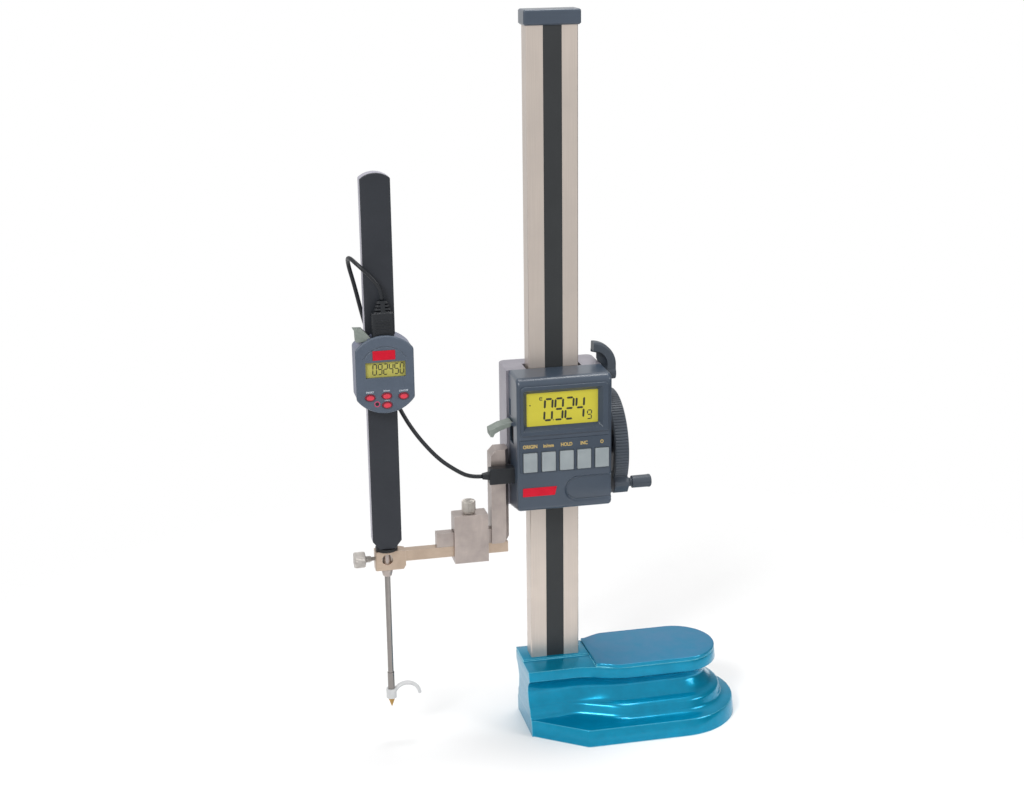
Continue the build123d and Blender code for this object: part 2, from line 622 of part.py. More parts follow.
button_1 = push_button(BUTTON_X[0])
button_1.part.label = "button_1"
export_step(button_1.part, "parts/button_1.step")
button_2 = push_button(BUTTON_X[1])
button_2.part.label = "button_2"
export_step(button_2.part, "parts/button_2.step")
button_3 = push_button(BUTTON_X[2])
button_3.part.label = "button_3"
export_step(button_3.part, "parts/button_3.step")
button_4 = push_button(BUTTON_X[3])
button_4.part.label = "button_4"
export_step(button_4.part, "parts/button_4.step")
button_5 = push_button(BUTTON_X[4])
button_5.part.label = "button_5"
export_step(button_5.part, "parts/button_5.step")

with BuildPart() as circuit_board:
    with BuildSketch(Plane.XZ.offset(38.0)) as board:
        with Locations((0.75, 323.0)):
            Rectangle(88.0, 118.0)
    extrude(amount=1.6)
circuit_board.part.label = "circuit_board"
export_step(circuit_board.part, "parts/circuit_board.step")

with BuildPart() as battery_cell:
    with BuildSketch(Plane.XZ.offset(42.7)) as cell:
        with Locations((BAY_X + 7.0, BAY_Z)):
            Circle(10.0)
    extrude(amount=3.2)
    fillet(battery_cell.faces().sort_by(Axis.Y)[0].edges(), 0.5)
battery_cell.part.label = "battery_cell"
export_step(battery_cell.part, "parts/battery_cell.step")

# D-shaped cover: the floor of the dished bay, with fine grip ribs, open to the right edge
with BuildPart() as battery_cover:
    with BuildSketch(Plane.XZ.offset(-CASE_FRONT - BAY_DEPTH - 1.8)) as cover:
        with Locations(((BAY_X + CASE_RIGHT - 0.6) / 2, BAY_Z)):
            Rectangle(CASE_RIGHT - 0.6 - BAY_X, 22.8)
        with Locations((BAY_X, BAY_Z)):
            Circle(11.4)
    extrude(amount=1.8)
    with BuildSketch(Plane.XZ.offset(-CASE_FRONT - BAY_DEPTH)) as grip_ribs:
        with GridLocations(0, 3.2, 1, 5):
            with Locations((30.0, BAY_Z)):
                SlotOverall(26.0, 1.0)
    extrude(amount=0.35)
battery_cover.part.label = "battery_cover"
export_step(battery_cover.part, "parts/battery_cover.step")

with BuildPart() as badge_plate:
    with BuildSketch(Plane.XZ.offset(-CASE_FRONT - 0.55)) as badge:
        with BuildLine():
            Polyline((-42.3, 272.5), (-42.2, 281.5), (-7.0, 281.5), (-9.1, 272.5), close=True)
        make_face()
    extrude(amount=0.85)
badge_plate.part.label = "badge_plate"
export_step(badge_plate.part, "parts/badge_plate.step")

# port flap, standing open: a plate with a hooked lip, on a pin along the top of the recess
with BuildPart() as port_flap:
    with BuildSketch(Plane.XZ.offset(31.5)) as flap_side:
        with BuildLine():
            Polyline((-50.0, 346.9), (-61.5, 344.2), (-71.6, 339.6), (-71.0, 333.0), (-68.4, 332.6),
                     (-66.6, 336.0), (-60.5, 339.2), (-50.2, 342.6), close=True)
        make_face()
        with Locations(FLAP_PIN):
            Circle(1.6)
    extrude(amount=-16.0)
    with BuildSketch(Plane.XZ.offset(40.0)) as flap_bore:
        with Locations(FLAP_PIN):
            Circle(0.86)
    extrude(amount=-30.0, mode=Mode.SUBTRACT)
port_flap.part.label = "port_flap"
export_step(port_flap.part, "parts/port_flap.step")

# ---------------------------------------------------------------- measuring arm
with BuildPart() as measuring_arm:
    with BuildSketch(Plane.XZ.offset(-ARM_FRONT)) as upright:
        with BuildLine():
            Polyline((-51.0, 316.0), (-64.0, 316.0), (-69.6, 310.0), (-69.6, JAW_Z), (-57.5, JAW_Z),
                     (-51.0, 221.0), close=True)
        make_face()
    extrude(amount=ARM_FRONT - ARM_BACK)
    chamfer(measuring_arm.edges().filter_by(Axis.Z).sort_by(Axis.X)[-2:].sort_by(Axis.Y)[0], 3.5)
    # jaw bar, running left
    with BuildSketch(Plane.XZ.offset(-BAR_FRONT)) as jaw:
        with Locations((-97.0, JAW_Z + 7.5)):
            Rectangle(60.0, 15.0)
    extrude(amount=BAR_FRONT - BAR_BACK)
    # mounting flange behind, against the left wall of the carriage
    with BuildSketch(Plane.YZ.offset(-56.5)) as flange:
        with Locations((3.0, 277.0)):
            Rectangle(28.0, 50.0)
        fillet(flange.vertices().group_by(Axis.X)[-1], 4.0)
        with Locations((8.0, 262.0), (8.0, 292.0)):
            Circle(2.6, mode=Mode.SUBTRACT)
    extrude(amount=6.5)
measuring_arm.part.label = "measuring_arm"
export_step(measuring_arm.part, "parts/measuring_arm.step")

with BuildPart() as arm_screws:
    for z in (262.0, 292.0):
        with BuildSketch(Plane.YZ.offset(-56.5)) as arm_screw_head:
            with Locations((8.0, z)):
                Circle(4.2)
        extrude(amount=-4.5)
        with BuildSketch(Plane.YZ.offset(-61.0)) as arm_screw_socket:
            with Locations((8.0, z)):
                RegularPolygon(2.3, 6)
        extrude(amount=2.5, mode=Mode.SUBTRACT)
        with BuildSketch(Plane.YZ.offset(-56.5)) as arm_screw_shank:
            with Locations((8.0, z)):
                Circle(2.5)
        extrude(amount=20.0)
arm_screws.part.label = "arm_screws"
export_step(arm_screws.part, "parts/arm_screws.step")

# ---------------------------------------------------------------- clamp and holder
with BuildPart() as clamp_box:
    with BuildSketch(Plane.YZ.offset(-109.0)) as clamp_side:
        with Locations((-15.5, 222.4)):
            Rectangle(19.0, 51.8)
        with Locations((-15.0, 216.8)):
            Rectangle(BAR_BACK - BAR_FRONT + 0.4, 27.8, mode=Mode.SUBTRACT)
    extrude(amount=35.4)
    chamfer(clamp_box.faces().sort_by(Axis.Z)[-1].edges().filter_by(Axis.Y), 0.8)
    with Locations(Location((-92.0, IND_Y, 248.3))):
        Hole(3.05, depth=20.0)
clamp_box.part.label = "clamp_box"
export_step(clamp_box.part, "parts/clamp_box.step")

with BuildPart() as clamp_screw:
    with BuildSketch(Plane.XY.offset(229.8)) as clamp_thread:
        with Locations((-92.0, IND_Y)):
            Circle(3.0)
    extrude(amount=19.0)
    with BuildSketch(Plane.XY.offset(248.5)) as clamp_neck:
        with Locations((-92.0, IND_Y)):
            Circle(6.2)
    extrude(amount=2.2)
    with BuildSketch(Plane.XY.offset(250.7)) as clamp_head:
        with Locations((-92.0, IND_Y)):
            Circle(7.2)
    extrude(amount=10.8)
    fillet(clamp_screw.faces().sort_by(Axis.Z)[-1].edges(), 1.4)
clamp_screw.part.label = "clamp_screw"
export_step(clamp_screw.part, "parts/clamp_screw.step")

# flat bar with an eye: the stem passes up through it, a cross hole shows the stem
with BuildPart() as holder_bar:
    with BuildSketch(Plane.XZ.offset(-BAR_FRONT)) as holder_face:
        with Locations((-106.2, 208.7)):
            Rectangle(108.4, 11.2)
    extrude(amount=BAR_FRONT - BAR_BACK)
    with BuildSketch(Plane.XZ.offset(-BAR_FRONT + 1.0)) as eye_face:
        with BuildLine():
            Polyline((-190.8, 195.0), (-190.8, 215.4), (-165.0, 215.4), (-159.6, 214.2), (-159.6, 199.0),
                     (-162.0, 195.0), close=True)
        make_face()
    extrude(amount=-14.0)
    chamfer(holder_bar.edges().filter_by(Axis.Z).sort_by(Axis.X)[:2], 1.2)
    with Locations(Location((IND_X, IND_Y, 215.4))):
        Hole(4.05, depth=30.0)
    with BuildSketch(Plane.XZ.offset(30.0)) as cross_hole:
        with Locations((IND_X, 206.5)):
            Circle(5.75)
    extrude(amount=-40.0, mode=Mode.SUBTRACT)
    with BuildSketch(Plane.YZ.offset(-191.0)) as thumb_bore:
        with Locations((IND_Y, 206.8)):
            Circle(2.15)
    extrude(amount=10.0, mode=Mode.SUBTRACT)
holder_bar.part.label = "holder_bar"
export_step(holder_bar.part, "parts/holder_bar.step")

with BuildPart() as thumb_screw:
    with BuildSketch(Plane((0, IND_Y, 206.8), x_dir=(1, 0, 0), z_dir=(0, -1, 0))) as thumb_profile:
        with BuildLine():
            Polyline((-182.9, 0), (-182.9, 2.1), (-195.0, 2.1), (-195.0, 3.3), (-201.0, 3.3), (-201.0, 7.6),
                     (-201.8, 8.3), (-211.4, 8.3), (-212.4, 7.3), (-212.4, 0), close=True)
        make_face()
    revolve(axis=Axis((0, IND_Y, 206.8), (1, 0, 0)))
thumb_screw.part.label = "thumb_screw"
export_step(thumb_screw.part, "parts/thumb_screw.step")

# ---------------------------------------------------------------- indicator
with BuildPart() as stem:
    with BuildSketch(Plane.XY.offset(187.4)) as stem_tube:
        with Locations((IND_X, IND_Y)):
            Circle(4.0)
            Circle(3.08, mode=Mode.SUBTRACT)
    extrude(amount=40.0)
stem.part.label = "stem"
export_step(stem.part, "parts/stem.step")

with BuildPart() as ferrule:
    with BuildSketch(Plane((IND_X, IND_Y, 0), x_dir=(1, 0, 0), z_dir=(0, -1, 0))) as ferrule_profile:
        with BuildLine():
            Polyline((4.05, 194.6), (5.7, 194.6), (5.7, 192.0), (4.9, 188.4), (4.4, 187.4), (4.05, 187.4),
                     close=True)
        make_face()
    revolve(axis=Axis((IND_X, IND_Y, 0), (0, 0, 1)))
ferrule.part.label = "ferrule"
export_step(ferrule.part, "parts/ferrule.step")

with BuildPart() as stem_collar:
    with BuildSketch(Plane.XY.offset(215.5)) as collar_ring:
        with Locations((IND_X, IND_Y)):
            Circle(11.5)
            Circle(4.05, mode=Mode.SUBTRACT)
    extrude(amount=3.4)
    chamfer(stem_collar.faces().sort_by(Axis.Z)[0].outer_wire().edges(), 0.8)
stem_collar.part.label = "stem_collar"
export_step(stem_collar.part, "parts/stem_collar.step")


def beam_outline(half_w, bottom, top, rise, corner):
    """Front outline of the indicator beam: clipped bottom corners, gently arched top."""
    with BuildSketch() as outline:
        with BuildLine():
            Polyline((half_w, top), (half_w, bottom + corner), (half_w - 0.8 * corner, bottom),
                     (0.8 * corner - half_w, bottom), (-half_w, bottom + corner), (-half_w, top))
            ThreePointArc((-half_w, top), (0, top + rise), (half_w, top))
        make_face()
        fillet(outline.vertices(), 1.4)
    return outline.sketch


beam_plane = Plane((IND_X, -24.0, 0), x_dir=(1, 0, 0), z_dir=(0, -1, 0))
with BuildPart() as beam_housing:
    with BuildSketch(beam_plane.offset(-2.0)) as beam_face:
        add(beam_outline(14.8, IND_BOTTOM, IND_TOP, 5.5, 9.0))
    extrude(amount=-14.0)
    fillet(beam_housing.faces().sort_by(Axis.Y)[-1].edges().filter_by(Axis.Z), 1.5)
    with BuildSketch(beam_plane.offset(-2.0)) as works_bay:
        with Locations((0, 409.0)):
            Rectangle(22.0, 364.0)
    extrude(amount=-12.0, mode=Mode.SUBTRACT)
    with Locations(Location((IND_X, IND_Y, 200.0), (180, 0, 0))):
        Hole(4.05, depth=40.0)
beam_housing.part.label = "beam_housing"
export_step(beam_housing.part, "parts/beam_housing.step")

with BuildPart() as beam_cover:
    with BuildSketch(beam_plane) as cover_outline:
        add(beam_outline(14.8, IND_BOTTOM, IND_TOP, 5.5, 9.0))
    extrude(amount=-2.0)
    chamfer(beam_cover.faces().sort_by(Axis.Y)[0].edges(), 0.6)
beam_cover.part.label = "beam_cover"
export_step(beam_cover.part, "parts/beam_cover.step")

# display module: arched case that saddles the beam
module_plane = Plane((IND_X + 1.2, -42.0, 0), x_dir=(1, 0, 0), z_dir=(0, -1, 0))


def module_outline(inset):
    """Front outline of the indicator's display: straight sides, arched top, deeper arched bottom."""
    with BuildSketch() as outline:
        with BuildLine():
            Polyline((28.8 - inset, 434.5), (28.8 - inset, 384.5))
            ThreePointArc((28.8 - inset, 384.5), (0, 369.6 + inset), (inset - 28.8, 384.5))
            Polyline((inset - 28.8, 384.5), (inset - 28.8, 434.5))
            ThreePointArc((inset - 28.8, 434.5), (0, 448.2 - inset), (28.8 - inset, 434.5))
        make_face()
        fillet(outline.vertices(), 4.0)
    return outline.sketch


OVAL_BUTTONS = ((-15.6, 386.5), (0.8, 387.4), (17.6, 386.3), (1.0, 378.1))
RESET_BUTTON = (-8.9, 379.7)
with BuildPart() as module_case:
    with BuildSketch(module_plane.offset(-3.0)) as module_face:
        add(module_outline(0.6))
    extrude(amount=-27.0)
    # saddle for the beam
    with BuildSketch(module_plane.offset(-18.0)) as saddle:
        with Locations((-1.2, 409.0)):
            Rectangle(29.8, 100.0)
    extrude(amount=-20.0, mode=Mode.SUBTRACT)
    # cavity behind the fascia, notch for the plug in the top, seat for its flap
    with BuildSketch(module_plane.offset(-3.0)) as module_cavity:
        add(module_outline(2.9))
        with Locations((0, 450.0)):
            Rectangle(60.0, 34.0, mode=Mode.SUBTRACT)
    extrude(amount=-9.0, mode=Mode.SUBTRACT)
    with BuildSketch(Plane.XY.offset(442.4)) as plug_notch:
        with Locations((IND_X + 1.5, -32.0)):
            RectangleRounded(21.6, 11.6, 1.0)
    extrude(amount=10.0, mode=Mode.SUBTRACT)
    with BuildSketch(Plane.XZ.offset(37.0)) as flap_seat:
        with Locations((-192.0, 444.5)):
            Circle(4.6)
        with Locations((-198.6, 446.0)):
            Rectangle(14.0, 8.6)
    extrude(amount=-11.5, mode=Mode.SUBTRACT)
    with BuildSketch(Plane.XZ.offset(38.0)) as front_stub:
        with Locations((-192.0, 444.5)):
            Circle(1.0)
    extrude(amount=-2.6)
    with BuildSketch(Plane.XZ.offset(27.2)) as back_stub:
        with Locations((-192.0, 444.5)):
            Circle(1.0)
    extrude(amount=-2.0)
module_case.part.label = "module_case"
export_step(module_case.part, "parts/module_case.step")

with BuildPart() as module_fascia:
    with BuildSketch(module_plane.offset(-3.0)) as fascia_face:
        add(module_outline(0.0))
    extrude(amount=3.0)
    chamfer(module_fascia.faces().sort_by(Axis.Y)[0].edges(), 1.0)
    with BuildSketch(module_plane) as fascia_openings:
        with Locations((0.6, 414.1)):
            Rectangle(39.6, 15.8)
        for place in OVAL_BUTTONS:
            with Locations(place):
                Ellipse(5.3, 3.6)
        with Locations(RESET_BUTTON):
            Circle(1.8)
    extrude(amount=-3.0, mode=Mode.SUBTRACT)
    # arched relief over the display, with the seat of the plate in it
    with BuildSketch(module_plane) as brow_relief:
        with BuildLine():
            ThreePointArc((-22.0, 426.0), (0, 438.0), (22.0, 426.0))
            Line((22.0, 426.0), (20.0, 426.0))
            ThreePointArc((20.0, 426.0), (0, 436.6), (-20.0, 426.0))
            Line((-20.0, 426.0), (-22.0, 426.0))
        make_face()
        with Locations((-0.7, 428.9)):
            Rectangle(22.4, 9.6)
    extrude(amount=-0.5, mode=Mode.SUBTRACT)
module_fascia.part.label = "module_fascia"
export_step(module_fascia.part, "parts/module_fascia.step")

with BuildPart() as module_lcd:
    with BuildSketch(module_plane.offset(-3.0)) as module_lcd_face:
        with Locations((0.6, 414.1)):
            Rectangle(42.0, 18.0)
    extrude(amount=-2.0)
module_lcd.part.label = "module_lcd"
export_step(module_lcd.part, "parts/module_lcd.step")

with BuildPart() as module_badge:
    with BuildSketch(module_plane.offset(-0.45)) as module_badge_face:
        with Locations((-0.7, 428.9)):
            Rectangle(22.2, 9.4)
    extrude(amount=0.75)
module_badge.part.label = "module_badge"
export_step(module_badge.part, "parts/module_badge.step")


def oval_button(place):
    """One oval key of the indicator."""
    with BuildPart() as key:
        with BuildSketch(module_plane.offset(-4.5)) as key_face:
            with Locations(place):
                Ellipse(5.0, 3.3)
        extrude(amount=5.7)
        fillet(key.faces().sort_by(Axis.Y)[0].edges(), 0.8)
        with BuildSketch(module_plane.offset(-4.5)) as stop_flange:
            with Locations(place):
                Ellipse(5.8, 4.1)
        extrude(amount=1.4)
    return key


oval_button_1 = oval_button(OVAL_BUTTONS[0])
oval_button_1.part.label = "oval_button_1"
export_step(oval_button_1.part, "parts/oval_button_1.step")
oval_button_2 = oval_button(OVAL_BUTTONS[1])
oval_button_2.part.label = "oval_button_2"
export_step(oval_button_2.part, "parts/oval_button_2.step")
oval_button_3 = oval_button(OVAL_BUTTONS[2])
oval_button_3.part.label = "oval_button_3"
export_step(oval_button_3.part, "parts/oval_button_3.step")
oval_button_4 = oval_button(OVAL_BUTTONS[3])
oval_button_4.part.label = "oval_button_4"
export_step(oval_button_4.part, "parts/oval_button_4.step")

with BuildPart() as reset_button:
    with BuildSketch(module_plane.offset(-4.5)) as reset_face:
        with Locations(RESET_BUTTON):
            Circle(1.6)
    extrude(amount=4.6)
    with BuildSketch(module_plane.offset(-4.5)) as reset_flange:
        with Locations(RESET_BUTTON):
            Circle(2.3)
    extrude(amount=1.4)
reset_button.part.label = "reset_button"
export_step(reset_button.part, "parts/reset_button.step")

# flap of the indicator's port, swung up and away to the left
with BuildPart() as module_flap:
    with BuildSketch(Plane.XZ.offset(36.5)) as module_flap_side:
        with BuildLine():
            Polyline((-190.6, 446.4), (-198.0, 454.6), (-206.6, 455.0), (-204.6, 452.8), (-204.2, 442.0),
                     (-197.6, 442.0), (-194.0, 443.2), close=True)
        make_face()
        with Locations((-192.0, 444.5)):
            Circle(2.4)
    extrude(amount=-10.5)
    with BuildSketch(Plane.XZ.offset(40.0)) as module_flap_bore:
        with Locations((-192.0, 444.5)):
            Circle(1.06)
    extrude(amount=-20.0, mode=Mode.SUBTRACT)
module_flap.part.label = "module_flap"
export_step(module_flap.part, "parts/module_flap.step")

# ---------------------------------------------------------------- spindle
ROD_TOP = 470.0
with BuildPart() as spindle:
    with BuildSketch(Plane.XY.offset(59.5)) as rod:
        with Locations((IND_X, IND_Y)):
            Circle(3.0)
    extrude(amount=ROD_TOP - 59.5)
    with BuildSketch(Plane.XY.offset(440.0)) as rider:
        with Locations((IND_X, IND_Y)):
            RectangleRounded(10.0, 7.0, 1.0)
    extrude(amount=24.0)
    # sleeve that seats the contact point and the lifting hook
    with BuildSketch(Plane.XY.offset(59.5)) as sleeve:
        with Locations((IND_X, IND_Y)):
            Circle(3.6)
    extrude(amount=18.9)
    chamfer(spindle.edges().filter_by(GeomType.CIRCLE).sort_by(lambda e: abs(e.center().Z - 78.4) - e.radius * 0.01)[0], 0.3)
spindle.part.label = "spindle"
export_step(spindle.part, "parts/spindle.step")

# lifting hook: a split ring on the rod with a finger that curls up and out
with BuildPart() as lifting_hook:
    with BuildSketch(Plane.XY.offset(49.2)) as hook_ring:
        with Locations((IND_X, IND_Y)):
            Circle(5.4)
    extrude(amount=10.2)
    with BuildLine() as hook_way:
        ThreePointArc((IND_X + 3.0, IND_Y, 54.5), (-161.5, IND_Y, 63.8), (-148.6, IND_Y, 51.5))
    with BuildSketch(Plane(hook_way.line @ 0, z_dir=hook_way.line % 0, x_dir=(0, 1, 0))) as hook_section:
        Ellipse(3.2, 1.9)
    sweep()
    with BuildSketch(Plane.XY.offset(40.0)) as hook_bore:
        with Locations((IND_X, IND_Y)):
            Circle(2.53)
    extrude(amount=30.0, mode=Mode.SUBTRACT)
lifting_hook.part.label = "lifting_hook"
export_step(lifting_hook.part, "parts/lifting_hook.step")

with BuildPart() as cone_tip:
    with BuildSketch(Plane((IND_X, IND_Y, 0), x_dir=(1, 0, 0), z_dir=(0, -1, 0))) as tip_profile:
        with BuildLine():
            Polyline((0, 59.4), (2.5, 59.4), (2.5, 49.1), (3.45, 49.1), (3.45, 47.6), (0.5, 39.2),
                     (0.3, 38.9), (0, 38.8), close=True)
        make_face()
    revolve(axis=Axis((IND_X, IND_Y, 0), (0, 0, 1)))
cone_tip.part.label = "cone_tip"
export_step(cone_tip.part, "parts/cone_tip.step")

# ---------------------------------------------------------------- data cable
with BuildPart() as indicator_plug:
    with BuildSketch(Plane.XY.offset(442.5)) as plug_foot:
        with Locations((IND_X + 1.5, -32.0)):
            RectangleRounded(21.2, 11.2, 1.5)
    extrude(amount=27.5)
    fillet(indicator_plug.faces().sort_by(Axis.Z)[-1].edges(), 1.4)
    with BuildSketch(Plane((IND_X + 1.8, -32.0, 469.9))) as boot_foot:
        RectangleRounded(17.5, 9.6, 2.5)
    with BuildSketch(Plane((IND_X + 1.8, -32.0, 481.4))) as boot_end:
        RectangleRounded(10.5, 7.0, 2.5)
    loft()
    # flex slots, either side of a spine
    with Locations(*[(IND_X + 1.8 + side * 5.6, -32.0, z) for side in (-1, 1) for z in (471.8, 475.0,
                                                                                        478.2)]):
        Box(7.2, 12.0, 1.3, mode=Mode.SUBTRACT)
indicator_plug.part.label = "indicator_plug"
export_step(indicator_plug.part, "parts/indicator_plug.step")

with BuildPart() as main_plug:
    with BuildSketch(Plane.YZ.offset(-47.6)) as plug_body:
        with Locations((-30.5, 291.5)):
            RectangleRounded(11.0, 17.0, 1.5)
    extrude(amount=-25.8)
    fillet(main_plug.faces().sort_by(Axis.X)[0].edges(), 1.2)
    with BuildSketch(Plane.YZ.offset(-47.6)) as plug_nose:
        with Locations((-30.5, 291.5)):
            RectangleRounded(8.0, 12.0, 1.0)
    extrude(amount=3.2)
    with BuildSketch(Plane.YZ.offset(-73.3)) as boot_root:
        with Locations((-30.5, 291.7)):
            RectangleRounded(7.6, 8.0, 2.0)
    with BuildSketch(Plane.YZ.offset(-80.2)) as boot_mouth:
        with Locations((-30.5, 291.7)):
            RectangleRounded(6.0, 6.0, 2.0)
    loft()
main_plug.part.label = "main_plug"
export_step(main_plug.part, "parts/main_plug.step")

# the route, from the indicator's plug over the beam, down behind it and across to the main plug
CABLE_ROUTE = [
    (-176.7, -32.0, 481.4),
    (-176.7, -32.0, 492.0),
    (-186.0, -34.0, 505.0),
    (-199.0, -30.0, 517.5),
    (-206.0, -13.0, 523.0),
    (-204.5, 3.0, 512.5),
    (-198.5, 4.0, 489.6),
    (-192.5, 4.0, 461.0),
    (-184.5, 3.0, 430.0),
    (-173.5, 2.5, 398.0),
    (-161.0, 0.0, 366.0),
    (-146.0, -8.0, 337.5),
    (-125.0, -18.5, 312.0),
    (-108.0, -27.0, 300.0),
    (-92.5, -30.5, 291.7),
    (-80.2, -30.5, 291.7),
]


def corner_radii(route):
    """Largest radius that each corner of the route allows: 0.45 of its shorter run over tan(half the turn)."""
    radii = []
    for a, b, c in zip(route, route[1:], route[2:]):
        before, after = Vector(b) - Vector(a), Vector(c) - Vector(b)
        turn = before.get_angle(after)
        radii.append(0.45 * min(before.length, after.length) / math.tan(math.radians(turn) / 2))
    return radii


cable_radii = corner_radii(CABLE_ROUTE)
with BuildPart() as data_cable:
    with BuildLine() as cable_way:
        FilletPolyline(*CABLE_ROUTE, radius=cable_radii)
    with BuildSketch(Plane(cable_way.line @ 0, z_dir=cable_way.line % 0)) as cable_section:
        Circle(CABLE_D / 2)
    sweep()
data_cable.part.label = "data_cable"
export_step(data_cable.part, "parts/data_cable.step")
cable_length = sum(e.length for e in cable_way.edges())
runs = [(Vector(b) - Vector(a)).length for a, b in zip(CABLE_ROUTE, CABLE_ROUTE[1:])]
turns = [(Vector(b) - Vector(a)).get_angle(Vector(c) - Vector(b))
         for a, b, c in zip(CABLE_ROUTE, CABLE_ROUTE[1:], CABLE_ROUTE[2:])]
print("cable length", round(cable_length, 1), "volume over section times length",
      round(data_cable.part.volume / (math.pi * CABLE_D ** 2 / 4 * cable_length), 4))
print("cable radii", [round(r, 1) for r in cable_radii])
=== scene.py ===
"""Looks of a digital height gauge: a display carriage on a column, with a travel indicator on its arm."""
import math

import bmesh
import bpy
from mathutils import Matrix, Vector


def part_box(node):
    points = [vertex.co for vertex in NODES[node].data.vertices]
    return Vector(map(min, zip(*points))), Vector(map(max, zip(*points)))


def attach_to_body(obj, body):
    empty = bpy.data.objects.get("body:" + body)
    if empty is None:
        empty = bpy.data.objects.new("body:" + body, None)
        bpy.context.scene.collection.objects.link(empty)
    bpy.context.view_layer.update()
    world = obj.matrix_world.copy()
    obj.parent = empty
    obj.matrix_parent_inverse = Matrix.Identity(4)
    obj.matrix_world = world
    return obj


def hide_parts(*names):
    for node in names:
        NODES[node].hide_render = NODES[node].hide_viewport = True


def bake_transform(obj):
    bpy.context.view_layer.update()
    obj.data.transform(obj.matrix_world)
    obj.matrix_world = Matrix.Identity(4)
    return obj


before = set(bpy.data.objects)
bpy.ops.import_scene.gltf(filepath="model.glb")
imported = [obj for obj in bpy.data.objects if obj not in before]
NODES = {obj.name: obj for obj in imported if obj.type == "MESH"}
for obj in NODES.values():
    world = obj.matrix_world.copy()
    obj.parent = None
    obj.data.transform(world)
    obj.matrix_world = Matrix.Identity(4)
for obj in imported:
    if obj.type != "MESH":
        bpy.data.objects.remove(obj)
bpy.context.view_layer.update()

MM = 0.001

# places in metres, measured off the solids
PLATE_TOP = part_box("base_casting")[1].z
CLAMP_SCREW_AXIS = sum(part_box("clamp_screw"), Vector()) / 2
THUMB_SCREW_AXIS = sum(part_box("thumb_screw"), Vector()) / 2


# ---------------------------------------------------------------- camera
CAMERA_AZIMUTH = math.radians(-12.266)
CAMERA_ELEVATION = math.radians(16.749)
CAMERA_ROLL = math.radians(-0.706)
CAMERA_DISTANCE = 1.74348
CAMERA_TARGET = Vector((-0.0417, 0.0, 0.3582))
CAMERA_LENS = 59.745


def make_camera():
    """The camera, in front of the gauge, a little to its left and above it."""
    back = Vector((math.sin(CAMERA_AZIMUTH) * math.cos(CAMERA_ELEVATION),
                   -math.cos(CAMERA_AZIMUTH) * math.cos(CAMERA_ELEVATION),
                   math.sin(CAMERA_ELEVATION)))
    right = back.cross(Vector((0, 0, -1))).normalized()
    up = back.cross(right)
    level = Matrix((right, up, back)).transposed().to_4x4()
    data = bpy.data.cameras.new("camera")
    data.lens = CAMERA_LENS
    data.sensor_width = 36.0
    data.sensor_fit = "HORIZONTAL"
    data.clip_end = 50.0
    camera = bpy.data.objects.new("camera", data)
    stand = Matrix.Translation(CAMERA_TARGET + back * CAMERA_DISTANCE)
    camera.matrix_world = stand @ level @ Matrix.Rotation(CAMERA_ROLL, 4, "Z")
    bpy.context.collection.objects.link(camera)
    bpy.context.scene.camera = camera


make_camera()


# ---------------------------------------------------------------- materials
BEVEL_SAMPLES = 4
MATT_COAT = 0.15


def mix_colour(tree, factor, a, b):
    """A colour between a and b; each may be a colour or a socket."""
    mix = tree.nodes.new("ShaderNodeMix")
    mix.data_type = "RGBA"
    tree.links.new(factor, mix.inputs["Factor"])
    for socket, value in ((mix.inputs[6], a), (mix.inputs[7], b)):
        if isinstance(value, bpy.types.NodeSocket):
            tree.links.new(value, socket)
        else:
            socket.default_value = (*value, 1.0)
    return mix.outputs[2]


def remap(tree, value, low, high, out_low, out_high):
    """value from low..high to out_low..out_high, clamped."""
    node = tree.nodes.new("ShaderNodeMapRange")
    tree.links.new(value, node.inputs["Value"])
    for name, number in (("From Min", low), ("From Max", high), ("To Min", out_low), ("To Max", out_high)):
        node.inputs[name].default_value = number
    return node.outputs["Result"]


def noise(tree, coordinates, scale, detail=3.0, roughness=0.5):
    """Noise over the object's own coordinates; scale counts features per metre."""
    node = tree.nodes.new("ShaderNodeTexNoise")
    tree.links.new(coordinates, node.inputs["Vector"])
    node.inputs["Scale"].default_value = scale
    node.inputs["Detail"].default_value = detail
    node.inputs["Roughness"].default_value = roughness
    return node.outputs["Fac"]


def edge_wear_and_highlight_mask(tree, radius, strength):
    """1 on edges, 0 on flat stretches, where a rounded normal leaves the true one: for wear, painted
    highlights, the ovals' darker rim.
    """
    bevel = tree.nodes.new("ShaderNodeBevel")
    bevel.samples = BEVEL_SAMPLES
    bevel.inputs["Radius"].default_value = radius
    true = tree.nodes.new("ShaderNodeNewGeometry")
    dot = tree.nodes.new("ShaderNodeVectorMath")
    dot.operation = "DOT_PRODUCT"
    tree.links.new(bevel.outputs[0], dot.inputs[0])
    tree.links.new(true.outputs["Normal"], dot.inputs[1])
    return remap(tree, dot.outputs["Value"], 1.0, 0.75, 0.0, strength)


def knurl(tree, centre, axis, count):
    """Ridges that run along an axis (0 for X, 2 for Z) through centre, count of them round it."""
    place = tree.nodes.new("ShaderNodeTexCoord").outputs["Object"]
    offset = tree.nodes.new("ShaderNodeVectorMath")
    offset.operation = "SUBTRACT"
    tree.links.new(place, offset.inputs[0])
    offset.inputs[1].default_value = centre
    split = tree.nodes.new("ShaderNodeSeparateXYZ")
    tree.links.new(offset.outputs[0], split.inputs[0])
    first, second = [i for i in (0, 1, 2) if i != axis]
    angle = tree.nodes.new("ShaderNodeMath")
    angle.operation = "ARCTAN2"
    tree.links.new(split.outputs[first], angle.inputs[0])
    tree.links.new(split.outputs[second], angle.inputs[1])
    turns = tree.nodes.new("ShaderNodeMath")
    turns.operation = "MULTIPLY"
    turns.inputs[1].default_value = count
    tree.links.new(angle.outputs[0], turns.inputs[0])
    wave = tree.nodes.new("ShaderNodeMath")
    wave.operation = "SINE"
    tree.links.new(turns.outputs[0], wave.inputs[0])
    return wave.outputs[0]


